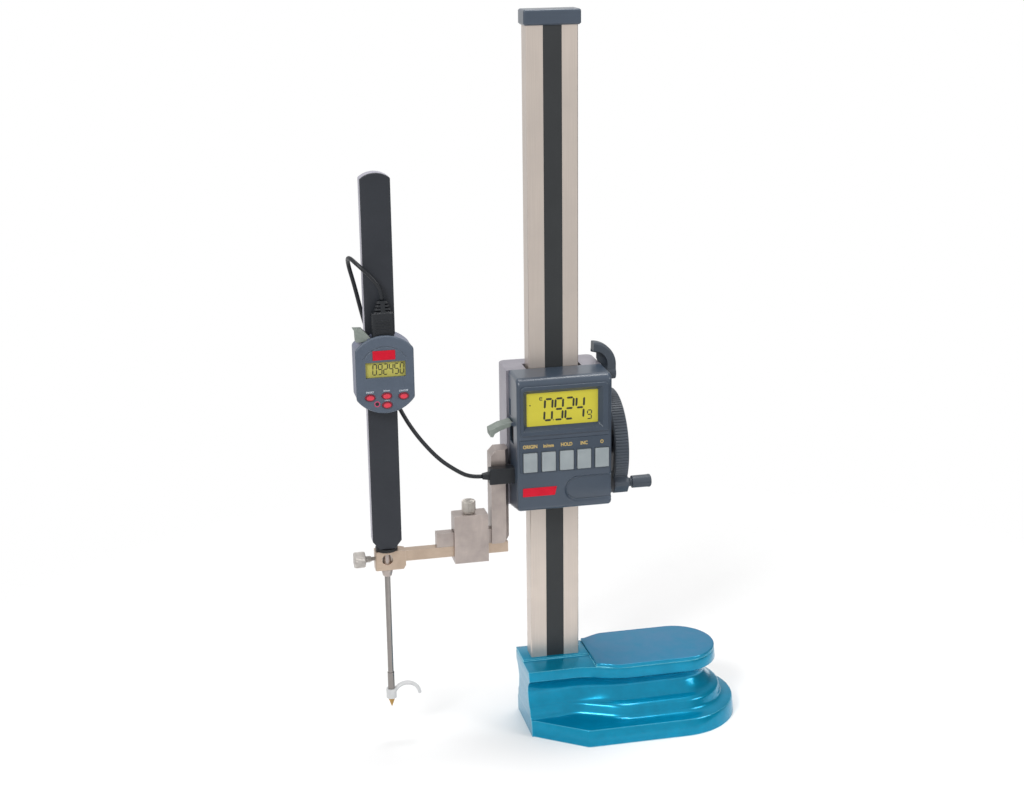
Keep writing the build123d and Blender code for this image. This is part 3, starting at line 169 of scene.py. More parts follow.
def surface(name, colour, rough=0.45, metal=0.0, tint=None, blotch=30.0, grain=1500.0, depth=0.02,
            spread=0.08, stretch=(1.0, 1.0, 1.0), edge=None, edge_strength=0.5, edge_width=0.6, coat=0.0,
            coat_rough=0.08, bevel=0.25, specular=0.5, ridges=None, ridge_depth=0.25, top=None):
    """One finish: blotches of a second tint, fine grain in roughness and relief, edges of another colour
    (wear, and a painted highlight on the enamel).

    grain and blotch count features per metre; depth, bevel, edge_width and ridge_depth are millimetres.
    ridges is a knurl, and top is (height, colour, roughness) of a matt finish above that height in metres,
    whose paler colour is partly a painted reflection of the white studio light.
    """
    material = bpy.data.materials.new(name)
    material.use_nodes = True
    tree = material.node_tree
    tree.nodes.clear()
    out = tree.nodes.new("ShaderNodeOutputMaterial")
    shader = tree.nodes.new("ShaderNodeBsdfPrincipled")
    tree.links.new(shader.outputs[0], out.inputs["Surface"])
    place = tree.nodes.new("ShaderNodeTexCoord").outputs["Object"]
    mapping = tree.nodes.new("ShaderNodeMapping")
    mapping.inputs["Scale"].default_value = stretch
    tree.links.new(place, mapping.inputs["Vector"])
    fine = noise(tree, mapping.outputs[0], grain)
    large = noise(tree, place, blotch, 4.0, 0.6)
    tint = tint or tuple(c * 0.8 for c in colour)
    base = mix_colour(tree, remap(tree, large, 0.35, 0.65, 0.0, 1.0), colour, tint)
    darker = tuple(c * (1.0 - spread * 2) for c in colour)
    base = mix_colour(tree, remap(tree, fine, 0.35, 0.65, 0.0, 0.5), base, darker)
    # edge colour: rubbed wear on most finishes, a painted highlight on the enamel
    if edge:
        base = mix_colour(tree, edge_wear_and_highlight_mask(tree, edge_width * MM, edge_strength), base, edge)
    worn_rough = remap(tree, fine, 0.3, 0.7, rough * (1 - spread), rough * (1 + spread))
    shader.inputs["Coat Weight"].default_value = coat
    # matt top finish: real roughness and coat, with a colour that is partly a painted reflection
    if top:
        height, matt_colour_with_painted_reflection, matt_rough = top
        split = tree.nodes.new("ShaderNodeSeparateXYZ")
        tree.links.new(place, split.inputs[0])
        above = remap(tree, split.outputs[2], height - 0.2 * MM, height + 0.2 * MM, 0.0, 1.0)
        matt = mix_colour(tree, remap(tree, large, 0.35, 0.65, 0.0, 0.4), matt_colour_with_painted_reflection, tint)
        base = mix_colour(tree, above, base, matt)
        blend = tree.nodes.new("ShaderNodeMix")
        tree.links.new(above, blend.inputs[0])
        tree.links.new(worn_rough, blend.inputs[2])
        blend.inputs[3].default_value = matt_rough
        worn_rough = blend.outputs[0]
        tree.links.new(remap(tree, above, 0.0, 1.0, coat, MATT_COAT), shader.inputs["Coat Weight"])
    tree.links.new(base, shader.inputs["Base Color"])
    tree.links.new(worn_rough, shader.inputs["Roughness"])
    shader.inputs["Metallic"].default_value = metal
    shader.inputs["Specular IOR Level"].default_value = specular
    shader.inputs["Coat Roughness"].default_value = coat_rough
    rounded = tree.nodes.new("ShaderNodeBevel")
    rounded.samples = BEVEL_SAMPLES
    rounded.inputs["Radius"].default_value = bevel * MM
    relief = tree.nodes.new("ShaderNodeBump")
    relief.inputs["Strength"].default_value = 1.0
    relief.inputs["Distance"].default_value = depth * MM
    tree.links.new(fine, relief.inputs["Height"])
    tree.links.new(rounded.outputs[0], relief.inputs["Normal"])
    shape = relief
    if ridges:
        shape = tree.nodes.new("ShaderNodeBump")
        shape.inputs["Distance"].default_value = ridge_depth * MM
        tree.links.new(knurl(tree, *ridges), shape.inputs["Height"])
        tree.links.new(relief.outputs[0], shape.inputs["Normal"])
    tree.links.new(shape.outputs[0], shader.inputs["Normal"])
    return material


def srgb(red, green, blue):
    """A colour named in screen values, 0 to 255, as scene-linear numbers."""
    values = [v / 255.0 for v in (red, green, blue)]
    return tuple(v / 12.92 if v <= 0.04045 else ((v + 0.055) / 1.055) ** 2.4 for v in values)


def paint(objects, material):
    """material on every slot of these objects."""
    for item in objects:
        thing = NODES[item] if isinstance(item, str) else item
        if not thing.material_slots:
            thing.data.materials.append(material)
        for slot in thing.material_slots:
            slot.link = "OBJECT"
            slot.material = material


ENAMEL = surface("teal_enamel", srgb(0, 140, 177), rough=0.24, metal=0.5, tint=srgb(0, 128, 163),
                 # the pale cyan edge colour is a painted highlight along the casting's edges and crest
                 blotch=60.0, grain=900.0, depth=0.012, spread=0.05, edge=srgb(140, 232, 250),
                 edge_strength=0.9, edge_width=1.4, coat=0.35, coat_rough=0.08, bevel=0.8, specular=0.1,
                 # the grip plate's matt finish is real; its paler grey-blue colour is partly a painted
                 # reflection of the white studio light
                 top=(PLATE_TOP - 0.5 * MM, srgb(66, 126, 162), 0.5))
COLUMN = surface("column_steel", srgb(212, 200, 190), rough=0.36, metal=0.75, tint=srgb(198, 188, 180),
                 blotch=9.0, grain=900.0, depth=0.004, stretch=(1.0, 1.0, 0.015),
                 edge=srgb(232, 226, 220))
STRIP = surface("scale_black", srgb(38, 41, 43), rough=0.5, tint=srgb(30, 33, 35), blotch=14.0,
                grain=2600.0, depth=0.006)
HOUSING = surface("housing_plastic", srgb(61, 73, 88), rough=0.3, tint=srgb(54, 66, 80), blotch=18.0,
                  grain=3200.0, depth=0.01, edge=srgb(118, 130, 144), edge_strength=0.5, edge_width=0.9,
                  coat=0.3, coat_rough=0.28, bevel=0.8)
HOUSING_DARK = surface("bezel_plastic", srgb(58, 70, 84), rough=0.34, tint=srgb(52, 63, 77), blotch=22.0,
                       grain=3200.0, depth=0.01, edge=srgb(98, 110, 124), edge_strength=0.4, bevel=0.4)
BLOCK = surface("milled_block", srgb(176, 172, 180), rough=0.4, metal=0.8, tint=srgb(156, 153, 163),
                blotch=30.0, grain=800.0, depth=0.006, stretch=(0.05, 1.0, 1.0), edge=srgb(222, 220, 226))
STEEL = surface("ground_steel", srgb(186, 174, 168), rough=0.34, metal=0.8, tint=srgb(160, 150, 146),
                blotch=40.0, grain=1100.0, depth=0.008, stretch=(1.0, 1.0, 0.06),
                edge=srgb(230, 224, 218))
BRIGHT = surface("turned_steel", srgb(182, 178, 172), rough=0.28, metal=0.95, tint=srgb(158, 154, 148),
                 blotch=80.0, grain=2200.0, depth=0.006, stretch=(0.1, 1.0, 1.0),
                 edge=srgb(226, 222, 216))
KNURLED_CLAMP = surface("knurled_clamp", srgb(220, 214, 206), rough=0.32, metal=0.7,
                        tint=srgb(190, 184, 176), blotch=80.0, grain=2200.0, depth=0.006,
                        edge=srgb(240, 236, 230), ridges=(CLAMP_SCREW_AXIS, 2, 30), ridge_depth=0.3)
KNURLED_THUMB = surface("knurled_thumb", srgb(216, 210, 204), rough=0.32, metal=0.7,
                        tint=srgb(180, 174, 168), blotch=80.0, grain=2200.0, depth=0.006,
                        edge=srgb(240, 236, 230), ridges=(THUMB_SCREW_AXIS, 0, 36), ridge_depth=0.3)
BLACKED = surface("blackened_steel", srgb(44, 44, 46), rough=0.38, metal=0.5, tint=srgb(34, 34, 36),
                  blotch=90.0, grain=2400.0, depth=0.008, edge=srgb(96, 94, 92))
BRONZE = surface("bronze", srgb(176, 140, 84), rough=0.32, metal=0.9, tint=srgb(150, 116, 66),
                 blotch=90.0, grain=2200.0, depth=0.006, stretch=(0.1, 1.0, 1.0),
                 edge=srgb(212, 180, 120))
PADS = surface("slide_plastic", srgb(222, 216, 200), rough=0.5, tint=srgb(206, 198, 180), blotch=50.0,
               grain=1800.0)
LCD = surface("lcd_yellow", srgb(204, 194, 66), rough=0.3, tint=srgb(196, 186, 60), blotch=24.0,
              grain=3800.0, depth=0.0, spread=0.03, bevel=0.05, specular=0.3)
LCD_OLIVE = surface("lcd_olive", srgb(184, 178, 92), rough=0.3, tint=srgb(172, 166, 82), blotch=60.0,
                    grain=3800.0, depth=0.0, spread=0.03, bevel=0.05, specular=0.3)
KEY = surface("key_grey", srgb(152, 160, 163), rough=0.42, tint=srgb(138, 147, 151), blotch=60.0,
              grain=3600.0, depth=0.012, edge=srgb(192, 198, 201), edge_width=0.9, bevel=0.7)
RED_PLATE = surface("plate_red", srgb(206, 22, 48), rough=0.5, tint=srgb(192, 14, 40), blotch=90.0,
                    grain=3200.0, depth=0.004, edge=srgb(222, 84, 96), edge_strength=0.3, specular=0.2)
BOARD = surface("board_green", srgb(26, 92, 58), rough=0.4, tint=srgb(20, 76, 48), blotch=60.0,
                grain=1400.0)
CELL = surface("cell_steel", srgb(206, 206, 204), rough=0.22, metal=1.0, tint=srgb(188, 188, 186),
               blotch=60.0, grain=2600.0, depth=0.004)
WHEEL = surface("wheel_plastic", srgb(62, 70, 80), rough=0.42, tint=srgb(54, 62, 72), blotch=26.0,
                grain=2800.0, depth=0.02, edge=srgb(104, 112, 122), edge_strength=0.5, bevel=0.4)
RUBBER = surface("cable_black", srgb(30, 33, 38), rough=0.38, tint=srgb(24, 27, 31), blotch=120.0,
                 grain=3400.0, depth=0.015, edge=srgb(62, 66, 72), edge_strength=0.4, specular=0.4)
FLAP = surface("flap_sage", srgb(140, 148, 141), rough=0.6, tint=srgb(122, 131, 125), blotch=120.0,
               grain=2800.0, depth=0.02, edge=srgb(184, 190, 184), bevel=0.4)
TAN_BAR = surface("bar_steel", srgb(198, 178, 160), rough=0.36, metal=0.85, tint=srgb(178, 158, 140),
                  blotch=40.0, grain=1100.0, depth=0.008, stretch=(0.06, 1.0, 1.0),
                  edge=srgb(232, 218, 204))
CHROME = surface("rod_chrome", srgb(152, 147, 144), rough=0.15, metal=1.0, tint=srgb(138, 133, 130),
                 blotch=30.0, grain=1800.0, depth=0.002, stretch=(1.0, 1.0, 0.05))
WHITE = surface("hook_white", srgb(206, 207, 208), rough=0.4, tint=srgb(190, 191, 192), blotch=90.0,
                grain=2600.0, depth=0.012, edge=srgb(226, 227, 228), bevel=0.3)
TIP = surface("tip_brass", srgb(190, 154, 92), rough=0.28, metal=0.95, tint=srgb(164, 128, 70),
              blotch=160.0, grain=2800.0, depth=0.004, edge=srgb(226, 196, 140))
CHARCOAL = surface("indicator_charcoal", srgb(48, 51, 57), rough=0.45, tint=srgb(41, 44, 50), blotch=16.0,
                   grain=2600.0, depth=0.012, edge=srgb(92, 95, 101), edge_strength=0.4, specular=0.3)
FASCIA = surface("fascia_slate", srgb(80, 91, 106), rough=0.42, tint=srgb(71, 82, 97), blotch=40.0,
                 grain=3000.0, depth=0.014, edge=srgb(122, 132, 146), edge_strength=0.5, edge_width=0.9,
                 bevel=0.6)
SILVER = surface("indicator_silver", srgb(184, 182, 194), rough=0.4, metal=0.6, tint=srgb(168, 166, 180),
                 blotch=20.0, grain=1900.0, depth=0.008, stretch=(1.0, 1.0, 0.1),
                 edge=srgb(222, 220, 230))
OVAL_RED = surface("oval_red", srgb(222, 56, 76), rough=0.35, tint=srgb(206, 44, 66), blotch=160.0,
                   grain=3200.0, depth=0.008, edge=srgb(84, 16, 34), edge_strength=1.0, edge_width=2.6,
                   coat=0.2, bevel=0.5)
RIM_RED = surface("rim_red", srgb(112, 22, 42), rough=0.4, tint=srgb(96, 16, 34), blotch=160.0,
                  grain=3200.0, depth=0.004, bevel=0.2)
MODULE_SLATE = surface("module_slate", srgb(116, 122, 144), rough=0.42, metal=0.2,
                       tint=srgb(104, 110, 132), blotch=40.0, grain=2600.0, depth=0.01,
                       edge=srgb(160, 166, 184), edge_strength=0.5, bevel=0.4)
INK = surface("lcd_ink", srgb(44, 46, 30), rough=0.4, tint=srgb(36, 38, 24), blotch=200.0, grain=3800.0,
              depth=0.0, bevel=0.02)
LEGEND_WHITE = surface("legend_white", srgb(205, 212, 220), rough=0.45, tint=srgb(190, 198, 208),
                       blotch=200.0, grain=3800.0, depth=0.0, bevel=0.02)
RING_PINK = surface("ring_pink", srgb(200, 70, 110), rough=0.45, tint=srgb(186, 58, 96), blotch=200.0,
                    grain=3800.0, depth=0.0, bevel=0.05)
LEGEND = surface("legend_gold", srgb(216, 186, 110), rough=0.45, tint=srgb(206, 176, 98), blotch=200.0,
                 grain=3800.0, depth=0.0, bevel=0.02)

paint(["column"], COLUMN)
paint(["scale_strip"], STRIP)
paint(["column_cap", "display_case"], HOUSING)
paint(["bezel_frame", "keypad_frame"], HOUSING_DARK)
paint(["carriage_block", "keeper_plate"], BLOCK)
paint(["measuring_arm", "clamp_box", "stem", "ferrule", "rack"], STEEL)
paint(["keeper_screws", "stem_collar", "reading_head"], BLACKED)
paint(["clamp_screw"], KNURLED_CLAMP)
paint(["thumb_screw"], KNURLED_THUMB)
paint(["arm_screws", "hub_screw", "crank_pin", "pinion_shaft", "lock_stud", "column_bolts"], BRIGHT)
paint(["shaft_bush"], BRONZE)
paint(["guide_pads"], PADS)
paint(["lcd_panel"], LCD)
paint(["module_lcd"], LCD_OLIVE)
paint(["button_%d" % i for i in range(1, 6)], KEY)
paint(["badge_plate", "module_badge"], RED_PLATE)
paint(["circuit_board"], BOARD)
paint(["battery_cell"], CELL)
paint(["handwheel", "crank_knob", "lock_lever"], WHEEL)
paint(["main_plug", "indicator_plug", "data_cable", "reset_button"], RUBBER)
paint(["port_flap", "module_flap"], FLAP)
paint(["holder_bar"], TAN_BAR)
paint(["spindle"], CHROME)
paint(["lifting_hook"], WHITE)
paint(["cone_tip"], TIP)
paint(["beam_cover"], CHARCOAL)
paint(["module_fascia"], FASCIA)
paint(["beam_housing"], SILVER)
paint(["module_case"], MODULE_SLATE)
paint(["oval_button_%d" % i for i in range(1, 5)], OVAL_RED)


# ---------------------------------------------------------------- pieces
def new_mesh(name, build):
    """A mesh object whose faces build(bm) makes in the shared frame, in metres."""
    mesh = bpy.data.meshes.new(name)
    bm = bmesh.new()
    build(bm)
    bmesh.ops.recalc_face_normals(bm, faces=bm.faces)
    bm.to_mesh(mesh)
    bm.free()
    item = bpy.data.objects.new(name, mesh)
    bpy.context.collection.objects.link(item)
    return item


def bridge(bm, lower, upper):
    """Faces between two closed loops of as many points."""
    for k in range(len(lower)):
        after = (k + 1) % len(lower)
        bm.faces.new((lower[k], lower[after], upper[after], upper[k]))


def prism(bm, first, second):
    """A closed solid between two outlines of as many points."""
    ends = [[bm.verts.new(p) for p in outline] for outline in (first, second)]
    bm.faces.new(ends[0])
    bm.faces.new(ends[1])
    bridge(bm, *ends)


def smooth(item):
    """Smooth shading on the whole piece."""
    for face in item.data.polygons:
        face.use_smooth = True


def attach(item, material, body):
    """Paint a piece and let it ride on its body."""
    paint([item], material)
    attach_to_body(item, body)


# data cable: the route from the indicator's plug, behind the beam and across to the display's plug
CABLE_DIAMETER = 4.2 * MM
CABLE_ROUTE = [
    (-0.1767, -0.0320, 0.4814),
    (-0.1767, -0.0320, 0.4920),
    (-0.1860, -0.0340, 0.5050),
    (-0.1990, -0.0300, 0.5175),
    (-0.2060, -0.0130, 0.5230),
    (-0.2045, 0.0030, 0.5125),
    (-0.1985, 0.0040, 0.4896),
    (-0.1925, 0.0040, 0.4610),
    (-0.1845, 0.0030, 0.4300),
    (-0.1735, 0.0025, 0.3980),
    (-0.1610, 0.0000, 0.3660),
    (-0.1460, -0.0080, 0.3375),
    (-0.1250, -0.0185, 0.3120),
    (-0.1080, -0.0270, 0.3000),
    (-0.0925, -0.0305, 0.2917),
    (-0.0802, -0.0305, 0.2917),
]


def spline_points(route, resolution=10):
    """Points of the one NURBS spline whose control points are the route's."""
    data = bpy.data.curves.new("route", "CURVE")
    data.dimensions = "3D"
    data.resolution_u = resolution
    spline = data.splines.new("NURBS")
    spline.points.add(len(route) - 1)
    for point, co in zip(spline.points, route):
        point.co = (*co, 1.0)
    spline.order_u = 3
    spline.use_endpoint_u = True
    holder = bpy.data.objects.new("route", data)
    bpy.context.collection.objects.link(holder)
    bpy.context.view_layer.update()
    mesh = bpy.data.meshes.new_from_object(holder.evaluated_get(bpy.context.evaluated_depsgraph_get()))
    points = [v.co.copy() for v in mesh.vertices]
    bpy.data.objects.remove(holder)
    bpy.data.curves.remove(data)
    bpy.data.meshes.remove(mesh)
    return points


def tube(bm, path, radius, sides=16):
    """A round tube along path, with closed ends."""
    side = Vector((0, 1, 0))
    rings = []
    for i, point in enumerate(path):
        way = (path[min(i + 1, len(path) - 1)] - path[max(i - 1, 0)]).normalized()
        side = (side - way * side.dot(way)).normalized()
        across = way.cross(side)
        rings.append([bm.verts.new(point + radius * (math.cos(a) * side + math.sin(a) * across))
                      for a in (2 * math.pi * k / sides for k in range(sides))])
    for before, after in zip(rings, rings[1:]):
        bridge(bm, before, after)
    bm.faces.new(rings[0])
    bm.faces.new(rings[-1])


cable_path = spline_points(CABLE_ROUTE)
cable = new_mesh("cable", lambda bm: tube(bm, cable_path, CABLE_DIAMETER / 2))
smooth(cable)
paint([cable], RUBBER)
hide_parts("data_cable")
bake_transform(cable)


# ---------------------------------------------------------------- base
# sections of the casting, in millimetres: height, left end, where the flare starts and the half width
# there, where it ends and the half width there, centre of the round end, easing of the flare's corners
FLANGE = (
    (0.0, -34.0, -32.0, 34.0, 19.0, 71.0, 127.0, 3.0),
    (16.8, -34.5, -31.5, 33.2, 20.0, 69.4, 127.0, 3.0),
    (17.8, -34.5, -31.4, 32.7, 20.1, 68.7, 127.0, 3.0),
    (18.2, -34.5, -31.2, 31.9, 20.4, 67.6, 127.0, 3.0),
)
SWEEP = (
    (19.0, -34.6, 0.0, 30.6, 56.0, 60.4, 128.2, 8.0),
    (20.0, -34.7, 5.0, 29.8, 59.0, 56.6, 128.5, 10.0),
    (21.5, -34.8, 9.0, 29.2, 61.0, 54.4, 129.0, 12.0),
    (25.0, -34.9, 11.5, 28.4, 62.5, 52.8, 129.6, 13.0),
    (28.0, -35.0, 13.0, 27.6, 64.0, 51.6, 130.0, 14.0),
    (29.4, -35.0, 13.4, 26.9, 63.8, 50.4, 130.2, 15.0),
    (30.6, -35.1, 14.0, 25.6, 63.4, 48.4, 130.4, 16.0),
    (31.8, -35.1, 14.4, 24.4, 62.8, 45.8, 130.6, 17.0),
    (34.6, -35.2, 15.2, 23.2, 61.5, 41.2, 130.9, 20.0),
    (41.5, -35.4, 16.7, 21.6, 59.2, 35.2, 131.5, 22.0),
    (47.0, -35.5, 18.0, 21.0, 58.0, 32.4, 132.0, 24.0),
    (54.0, -35.8, 21.0, 23.0, 58.0, 34.6, 133.0, 20.0),
    (58.8, -35.9, 23.4, 26.8, 58.0, 39.2, 133.8, 16.0),
    (61.2, -36.0, 24.0, 30.2, 58.0, 42.7, 134.0, 14.0),
)
RIM = (
    (62.2, -36.1, 24.3, 30.8, 58.0, 43.2, 134.0, 14.0),
    (71.8, -36.5, 26.0, 30.2, 58.0, 42.3, 134.0, 14.0),
    (72.7, -36.3, 26.0, 29.9, 58.0, 42.0, 134.0, 14.0),
    (73.0, -35.8, 26.2, 29.3, 58.0, 41.4, 134.0, 14.0),
)
# the same without the height, for the grip plate on top and the hollow underneath
GRIP = (36.5, 39.5, 33.5, 58.0, 42.0, 134.0, 6.0)
HOLLOW = (-20.0, -16.0, 22.0, 26.0, 57.0, 127.0, 4.0)
HOLLOW_ROOF = 10.0
WELL_RADIUS = 7.5
WELL_END = 19.0
BOLT_PLACES = (-15.0, 15.0)
PAD_HALF_WIDTH = 36.0
PAD_FRONT, PAD_BACK = -14.5, 20.5
# rounded top edges of the grip plate and the column's pad: how far below the top, how far in
GRIP_EDGE = ((1.5, 0.0), (0.95, 0.12), (0.45, 0.45), (0.12, 0.95), (0.0, 1.5))
PAD_EDGE = ((0.6, 0.0), (0.2, 0.2), (0.0, 0.6))
SUNK = 2.0
BASE_MID_Y = -12.0
ROUND_END_STEPS = 40
BASE_SHARP = math.radians(32)
# how far the waist climbs towards the round end: height, climb; and over what length it does so
CLIMB = (
    (18.2, 0.0),
    (22.0, 1.2),
    (28.2, 3.0),
    (31.0, 3.4),
    (41.5, 2.6),
    (54.0, 0.8),
    (61.2, 0.0),
)
CLIMB_START = -35.0
CLIMB_LENGTH = 90.0
DECK_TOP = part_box("scale_strip")[0].z / MM - 0.2


def along(a, b, steps):
    """Points from a up to but not at b."""
    return [a.lerp(b, k / steps) for k in range(steps)]


def eased(before, corner, after, ease, steps=6):
    """A corner rounded off by a curve that starts and ends ease away from it."""
    reach = min(ease, 0.45 * (before - corner).length, 0.45 * (after - corner).length)
    a = corner + (before - corner).normalized() * reach
    b = corner + (after - corner).normalized() * reach
    return [(1 - t) ** 2 * a + 2 * t * (1 - t) * corner + t * t * b
            for t in (k / steps for k in range(steps + 1))]


def base_outline(z, left, x_narrow, half_left, x_wide, half_right, x_round, ease):
    """Points round the base at one height: square left end, flare, straight sides, round right end."""
    end, start = Vector((left, half_left)), Vector((x_narrow, half_left))
    wide, far = Vector((x_wide, half_right)), Vector((x_round, half_right))
    first, second = eased(end, start, wide, ease), eased(start, wide, far, ease)
    half = along(end, first[0], 3) + first[:-1] + along(first[-1], second[0], 6) + second[:-1]
    half += along(second[-1], far, 8)
    arc = [Vector((x_round + half_right * math.sin(a), half_right * math.cos(a)))
           for a in (math.pi * k / ROUND_END_STEPS for k in range(ROUND_END_STEPS + 1))]
    lower = [Vector((v.x, -v.y)) for v in reversed(half)]
    closing = along(Vector((left, -half_left)), end, 8)[1:]
    return [Vector((v.x, BASE_MID_Y + v.y, z)) * MM for v in half + arc + lower + closing]


def between(t, before, start, end, after):
    """The value a part t of the way from start to end, on a smooth curve through all four."""
    bend = 2 * before - 5 * start + 4 * end - after + t * (3 * (start - end) + after - before)
    return start + 0.5 * t * (end - before + t * bend)


def eased_sections(sections, steps=4):
    """Sections with a smooth run of others between them."""
    rows = [sections[0]]
    padded = (sections[0],) + tuple(sections) + (sections[-1],)
    for k in range(1, len(padded) - 2):
        p0, p1, p2, p3 = padded[k - 1:k + 3]
        for step in range(1, steps + 1):
            t = step / steps
            rows.append(tuple(between(t, *values) for values in zip(p0, p1, p2, p3)))
    return rows


def stack(bm, outlines):
    """Loops one above the other, joined; returns the first and the last loop."""
    loops = [[bm.verts.new(p) for p in outline] for outline in outlines]
    for lower, upper in zip(loops, loops[1:]):
        bridge(bm, lower, upper)
    return loops[0], loops[-1]


def circle(x, y, z, radius, sides=40):
    """Points round a circle, from millimetres."""
    return [Vector((x + radius * math.cos(a), y + radius * math.sin(a), z)) * MM
            for a in (2 * math.pi * k / sides for k in range(sides))]


def fill(bm, loops):
    """Flat faces inside the first loop and outside the others."""
    edges = []
    for loop in loops:
        for a, b in zip(loop, loop[1:] + loop[:1]):
            edges.append(bm.edges.get((a, b)) or bm.edges.new((a, b)))
    bmesh.ops.triangle_fill(bm, use_beauty=True, use_dissolve=True, edges=edges)


def climbed(outline):
    """An outline of the waist tilted up towards the round end, steeply at first."""
    height = outline[0].z / MM
    rise = 0.0
    for (low, before), (high, after) in zip(CLIMB, CLIMB[1:]):
        if low <= height <= high:
            rise = before + (after - before) * (height - low) / (high - low)
    return [p + Vector((0, 0, rise * MM * (1 - math.exp((CLIMB_START - p.x / MM) / CLIMB_LENGTH))))
            for p in outline]


def base_body(bm):
    """The casting: flange, swept waist, rim, grip plate, column pad and the hollow underside."""
    waist = [climbed(base_outline(*row)) for row in eased_sections(SWEEP)]
    flange, rim = ([base_outline(*row) for row in rows] for rows in (FLANGE, RIM))
    foot, deck = stack(bm, flange + waist + rim)
    fill(bm, [deck])
    low, high = DECK_TOP - SUNK, PLATE_TOP / MM
    left, x_narrow, half_left, x_wide, half_right, x_round, ease = GRIP
    plate = [base_outline(z, left + i, x_narrow + 0.4 * i, half_left - i, x_wide, half_right - i, x_round,
                          ease)
             for z, i in [(low, 0.0)] + [(high - down, i) for down, i in GRIP_EDGE]]
    fill(bm, [stack(bm, plate)[1]])
    pad = []
    for z, i in [(low, 0.0)] + [(DECK_TOP - down, i) for down, i in PAD_EDGE]:
        side, front, back = PAD_HALF_WIDTH - i, PAD_FRONT + i, PAD_BACK - i
        corners = ((-side, front), (side, front), (side, back), (-side, back))
        pad.append([Vector((x, y, z)) * MM for x, y in corners])
    fill(bm, [stack(bm, pad)[1]])
    mouth, roof = stack(bm, [base_outline(0.0, *HOLLOW), base_outline(HOLLOW_ROOF, *HOLLOW)])
    bridge(bm, foot, mouth)
    wells = []
    for x in BOLT_PLACES:
        opening, end = stack(bm, [circle(x, 0.0, z, WELL_RADIUS) for z in (HOLLOW_ROOF, WELL_END)])
        fill(bm, [end])
        wells.append(opening)
    fill(bm, [roof] + wells)


base = new_mesh("base_body", base_body)
smooth(base)
base.data.set_sharp_from_angle(angle=BASE_SHARP)
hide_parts("base_casting")
attach(base, ENAMEL, "base")


# ---------------------------------------------------------------- battery cover
COVER_SHARP = math.radians(28)
COVER_EDGE = ((0.0, 0.0), (1.4, 0.0), (1.65, 0.12), (1.8, 0.45))
COVER_ARC_STEPS = 28


def cover_body(bm):
    """A D-shaped plate with a rounded face: round at the left, square where it runs out of the case."""
    low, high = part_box("battery_cover")
    middle, half = (low.z + high.z) / 2, (high.z - low.z) / 2
    loops = []
    for depth, inset in COVER_EDGE:
        reach = half - inset * MM
        y = high.y - depth * MM
        arc = [Vector((low.x + half - reach * math.sin(a), y, middle + reach * math.cos(a)))
               for a in (math.pi * k / COVER_ARC_STEPS for k in range(COVER_ARC_STEPS + 1))]
        loops.append(arc + [Vector((high.x - inset * MM, y, middle - reach)),
                            Vector((high.x - inset * MM, y, middle + reach))])
    back, front = stack(bm, loops)
    bm.faces.new(back)
    bm.faces.new(front)


cover = new_mesh("cover_plate", cover_body)
smooth(cover)
cover.data.set_sharp_from_angle(angle=COVER_SHARP)
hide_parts("battery_cover")
attach(cover, HOUSING, "battery_cover")


# ---------------------------------------------------------------- marks on the displays
# the lit bars of each seven-segment numeral
SEGMENTS = {"0": "abcdef", "2": "abdeg", "4": "bcfg", "5": "acdfg", "9": "abcdfg"}
MARK_THICKNESS = 0.06 * MM
LETTER_THICKNESS = 0.03 * MM


def bar(bm, start, end, width, y):
    """A thin six-sided bar from start to end, both (x, z), on the plane at y."""
    a, b = Vector((start[0], 0, start[1])), Vector((end[0], 0, end[1]))
    way = (b - a).normalized()
    side = Vector((-way.z, 0, way.x)) * width / 2
    nib = way * width / 2
    outline = [a, a + nib + side, b - nib + side, b, b - nib - side, a + nib - side]
    prism(bm, *([p + Vector((0, depth, 0)) for p in outline] for depth in (y, y - MARK_THICKNESS)))


def digit(bm, character, left, bottom, width, height, y, parted, weight=0.27):
    """One seven-segment numeral.

    Its upright bars stop parted * height short of the middle, and every bar is weight * width thick.
    """
    thick = weight * width
    clearance = 0.22 * thick
    slant = 0.05 * height
    low, mid, high = bottom, bottom + height / 2, bottom + height
    above, below = mid + parted * height, mid - parted * height
    right = left + width

    def lean(z):
        return slant * (z - bottom) / height

    ends = {"a": ((left, high), (right, high)), "g": ((left, mid), (right, mid)),
            "d": ((left, low), (right, low)),
            "f": ((left, high), (left, above)), "b": ((right, high), (right, above)),
            "e": ((left, below), (left, low)), "c": ((right, below), (right, low))}
    for name in SEGMENTS[character]:
        (x0, z0), (x1, z1) = ends[name]
        a, b = Vector((x0 + lean(z0), z0)), Vector((x1 + lean(z1), z1))
        way = (b - a).normalized() * clearance
        bar(bm, a + way, b - way, thick, y)


def numerals(name, text, left, bottom, width, height, pitch, y, parted=0.045):
    """A row of numerals with a decimal point after the first."""
    def build(bm):
        for k, character in enumerate(text):
            digit(bm, character, left + k * pitch, bottom, width, height, y, parted)
        point = left + width + 0.5 * (pitch - width)
        bar(bm, (point - 0.1 * width, bottom), (point + 0.1 * width, bottom), 0.16 * width, y)
    return new_mesh(name, build)


def lettering(name, text, x, z, size, y, narrow=1.0):
    """Generic words as thin raised letters that face the front, centred on (x, z)."""
    data = bpy.data.curves.new(name, "FONT")
    data.body = text
    data.size = size
    data.align_x = "CENTER"
    data.align_y = "CENTER"
    data.extrude = LETTER_THICKNESS
    data.offset = 0.02 * size
    data.resolution_u = 3
    holder = bpy.data.objects.new(name, data)
    bpy.context.collection.objects.link(holder)
    bpy.context.view_layer.update()
    mesh = bpy.data.meshes.new_from_object(holder.evaluated_get(bpy.context.evaluated_depsgraph_get()))
    bpy.data.objects.remove(holder)
    bpy.data.curves.remove(data)
    upright = Matrix.Rotation(math.pi / 2, 4, "X") @ Matrix.Diagonal((narrow, 1, 1, 1))
    mesh.transform(Matrix.Translation((x, y, z)) @ upright)
    item = bpy.data.objects.new(name, mesh)
    bpy.context.collection.objects.link(item)
    return item


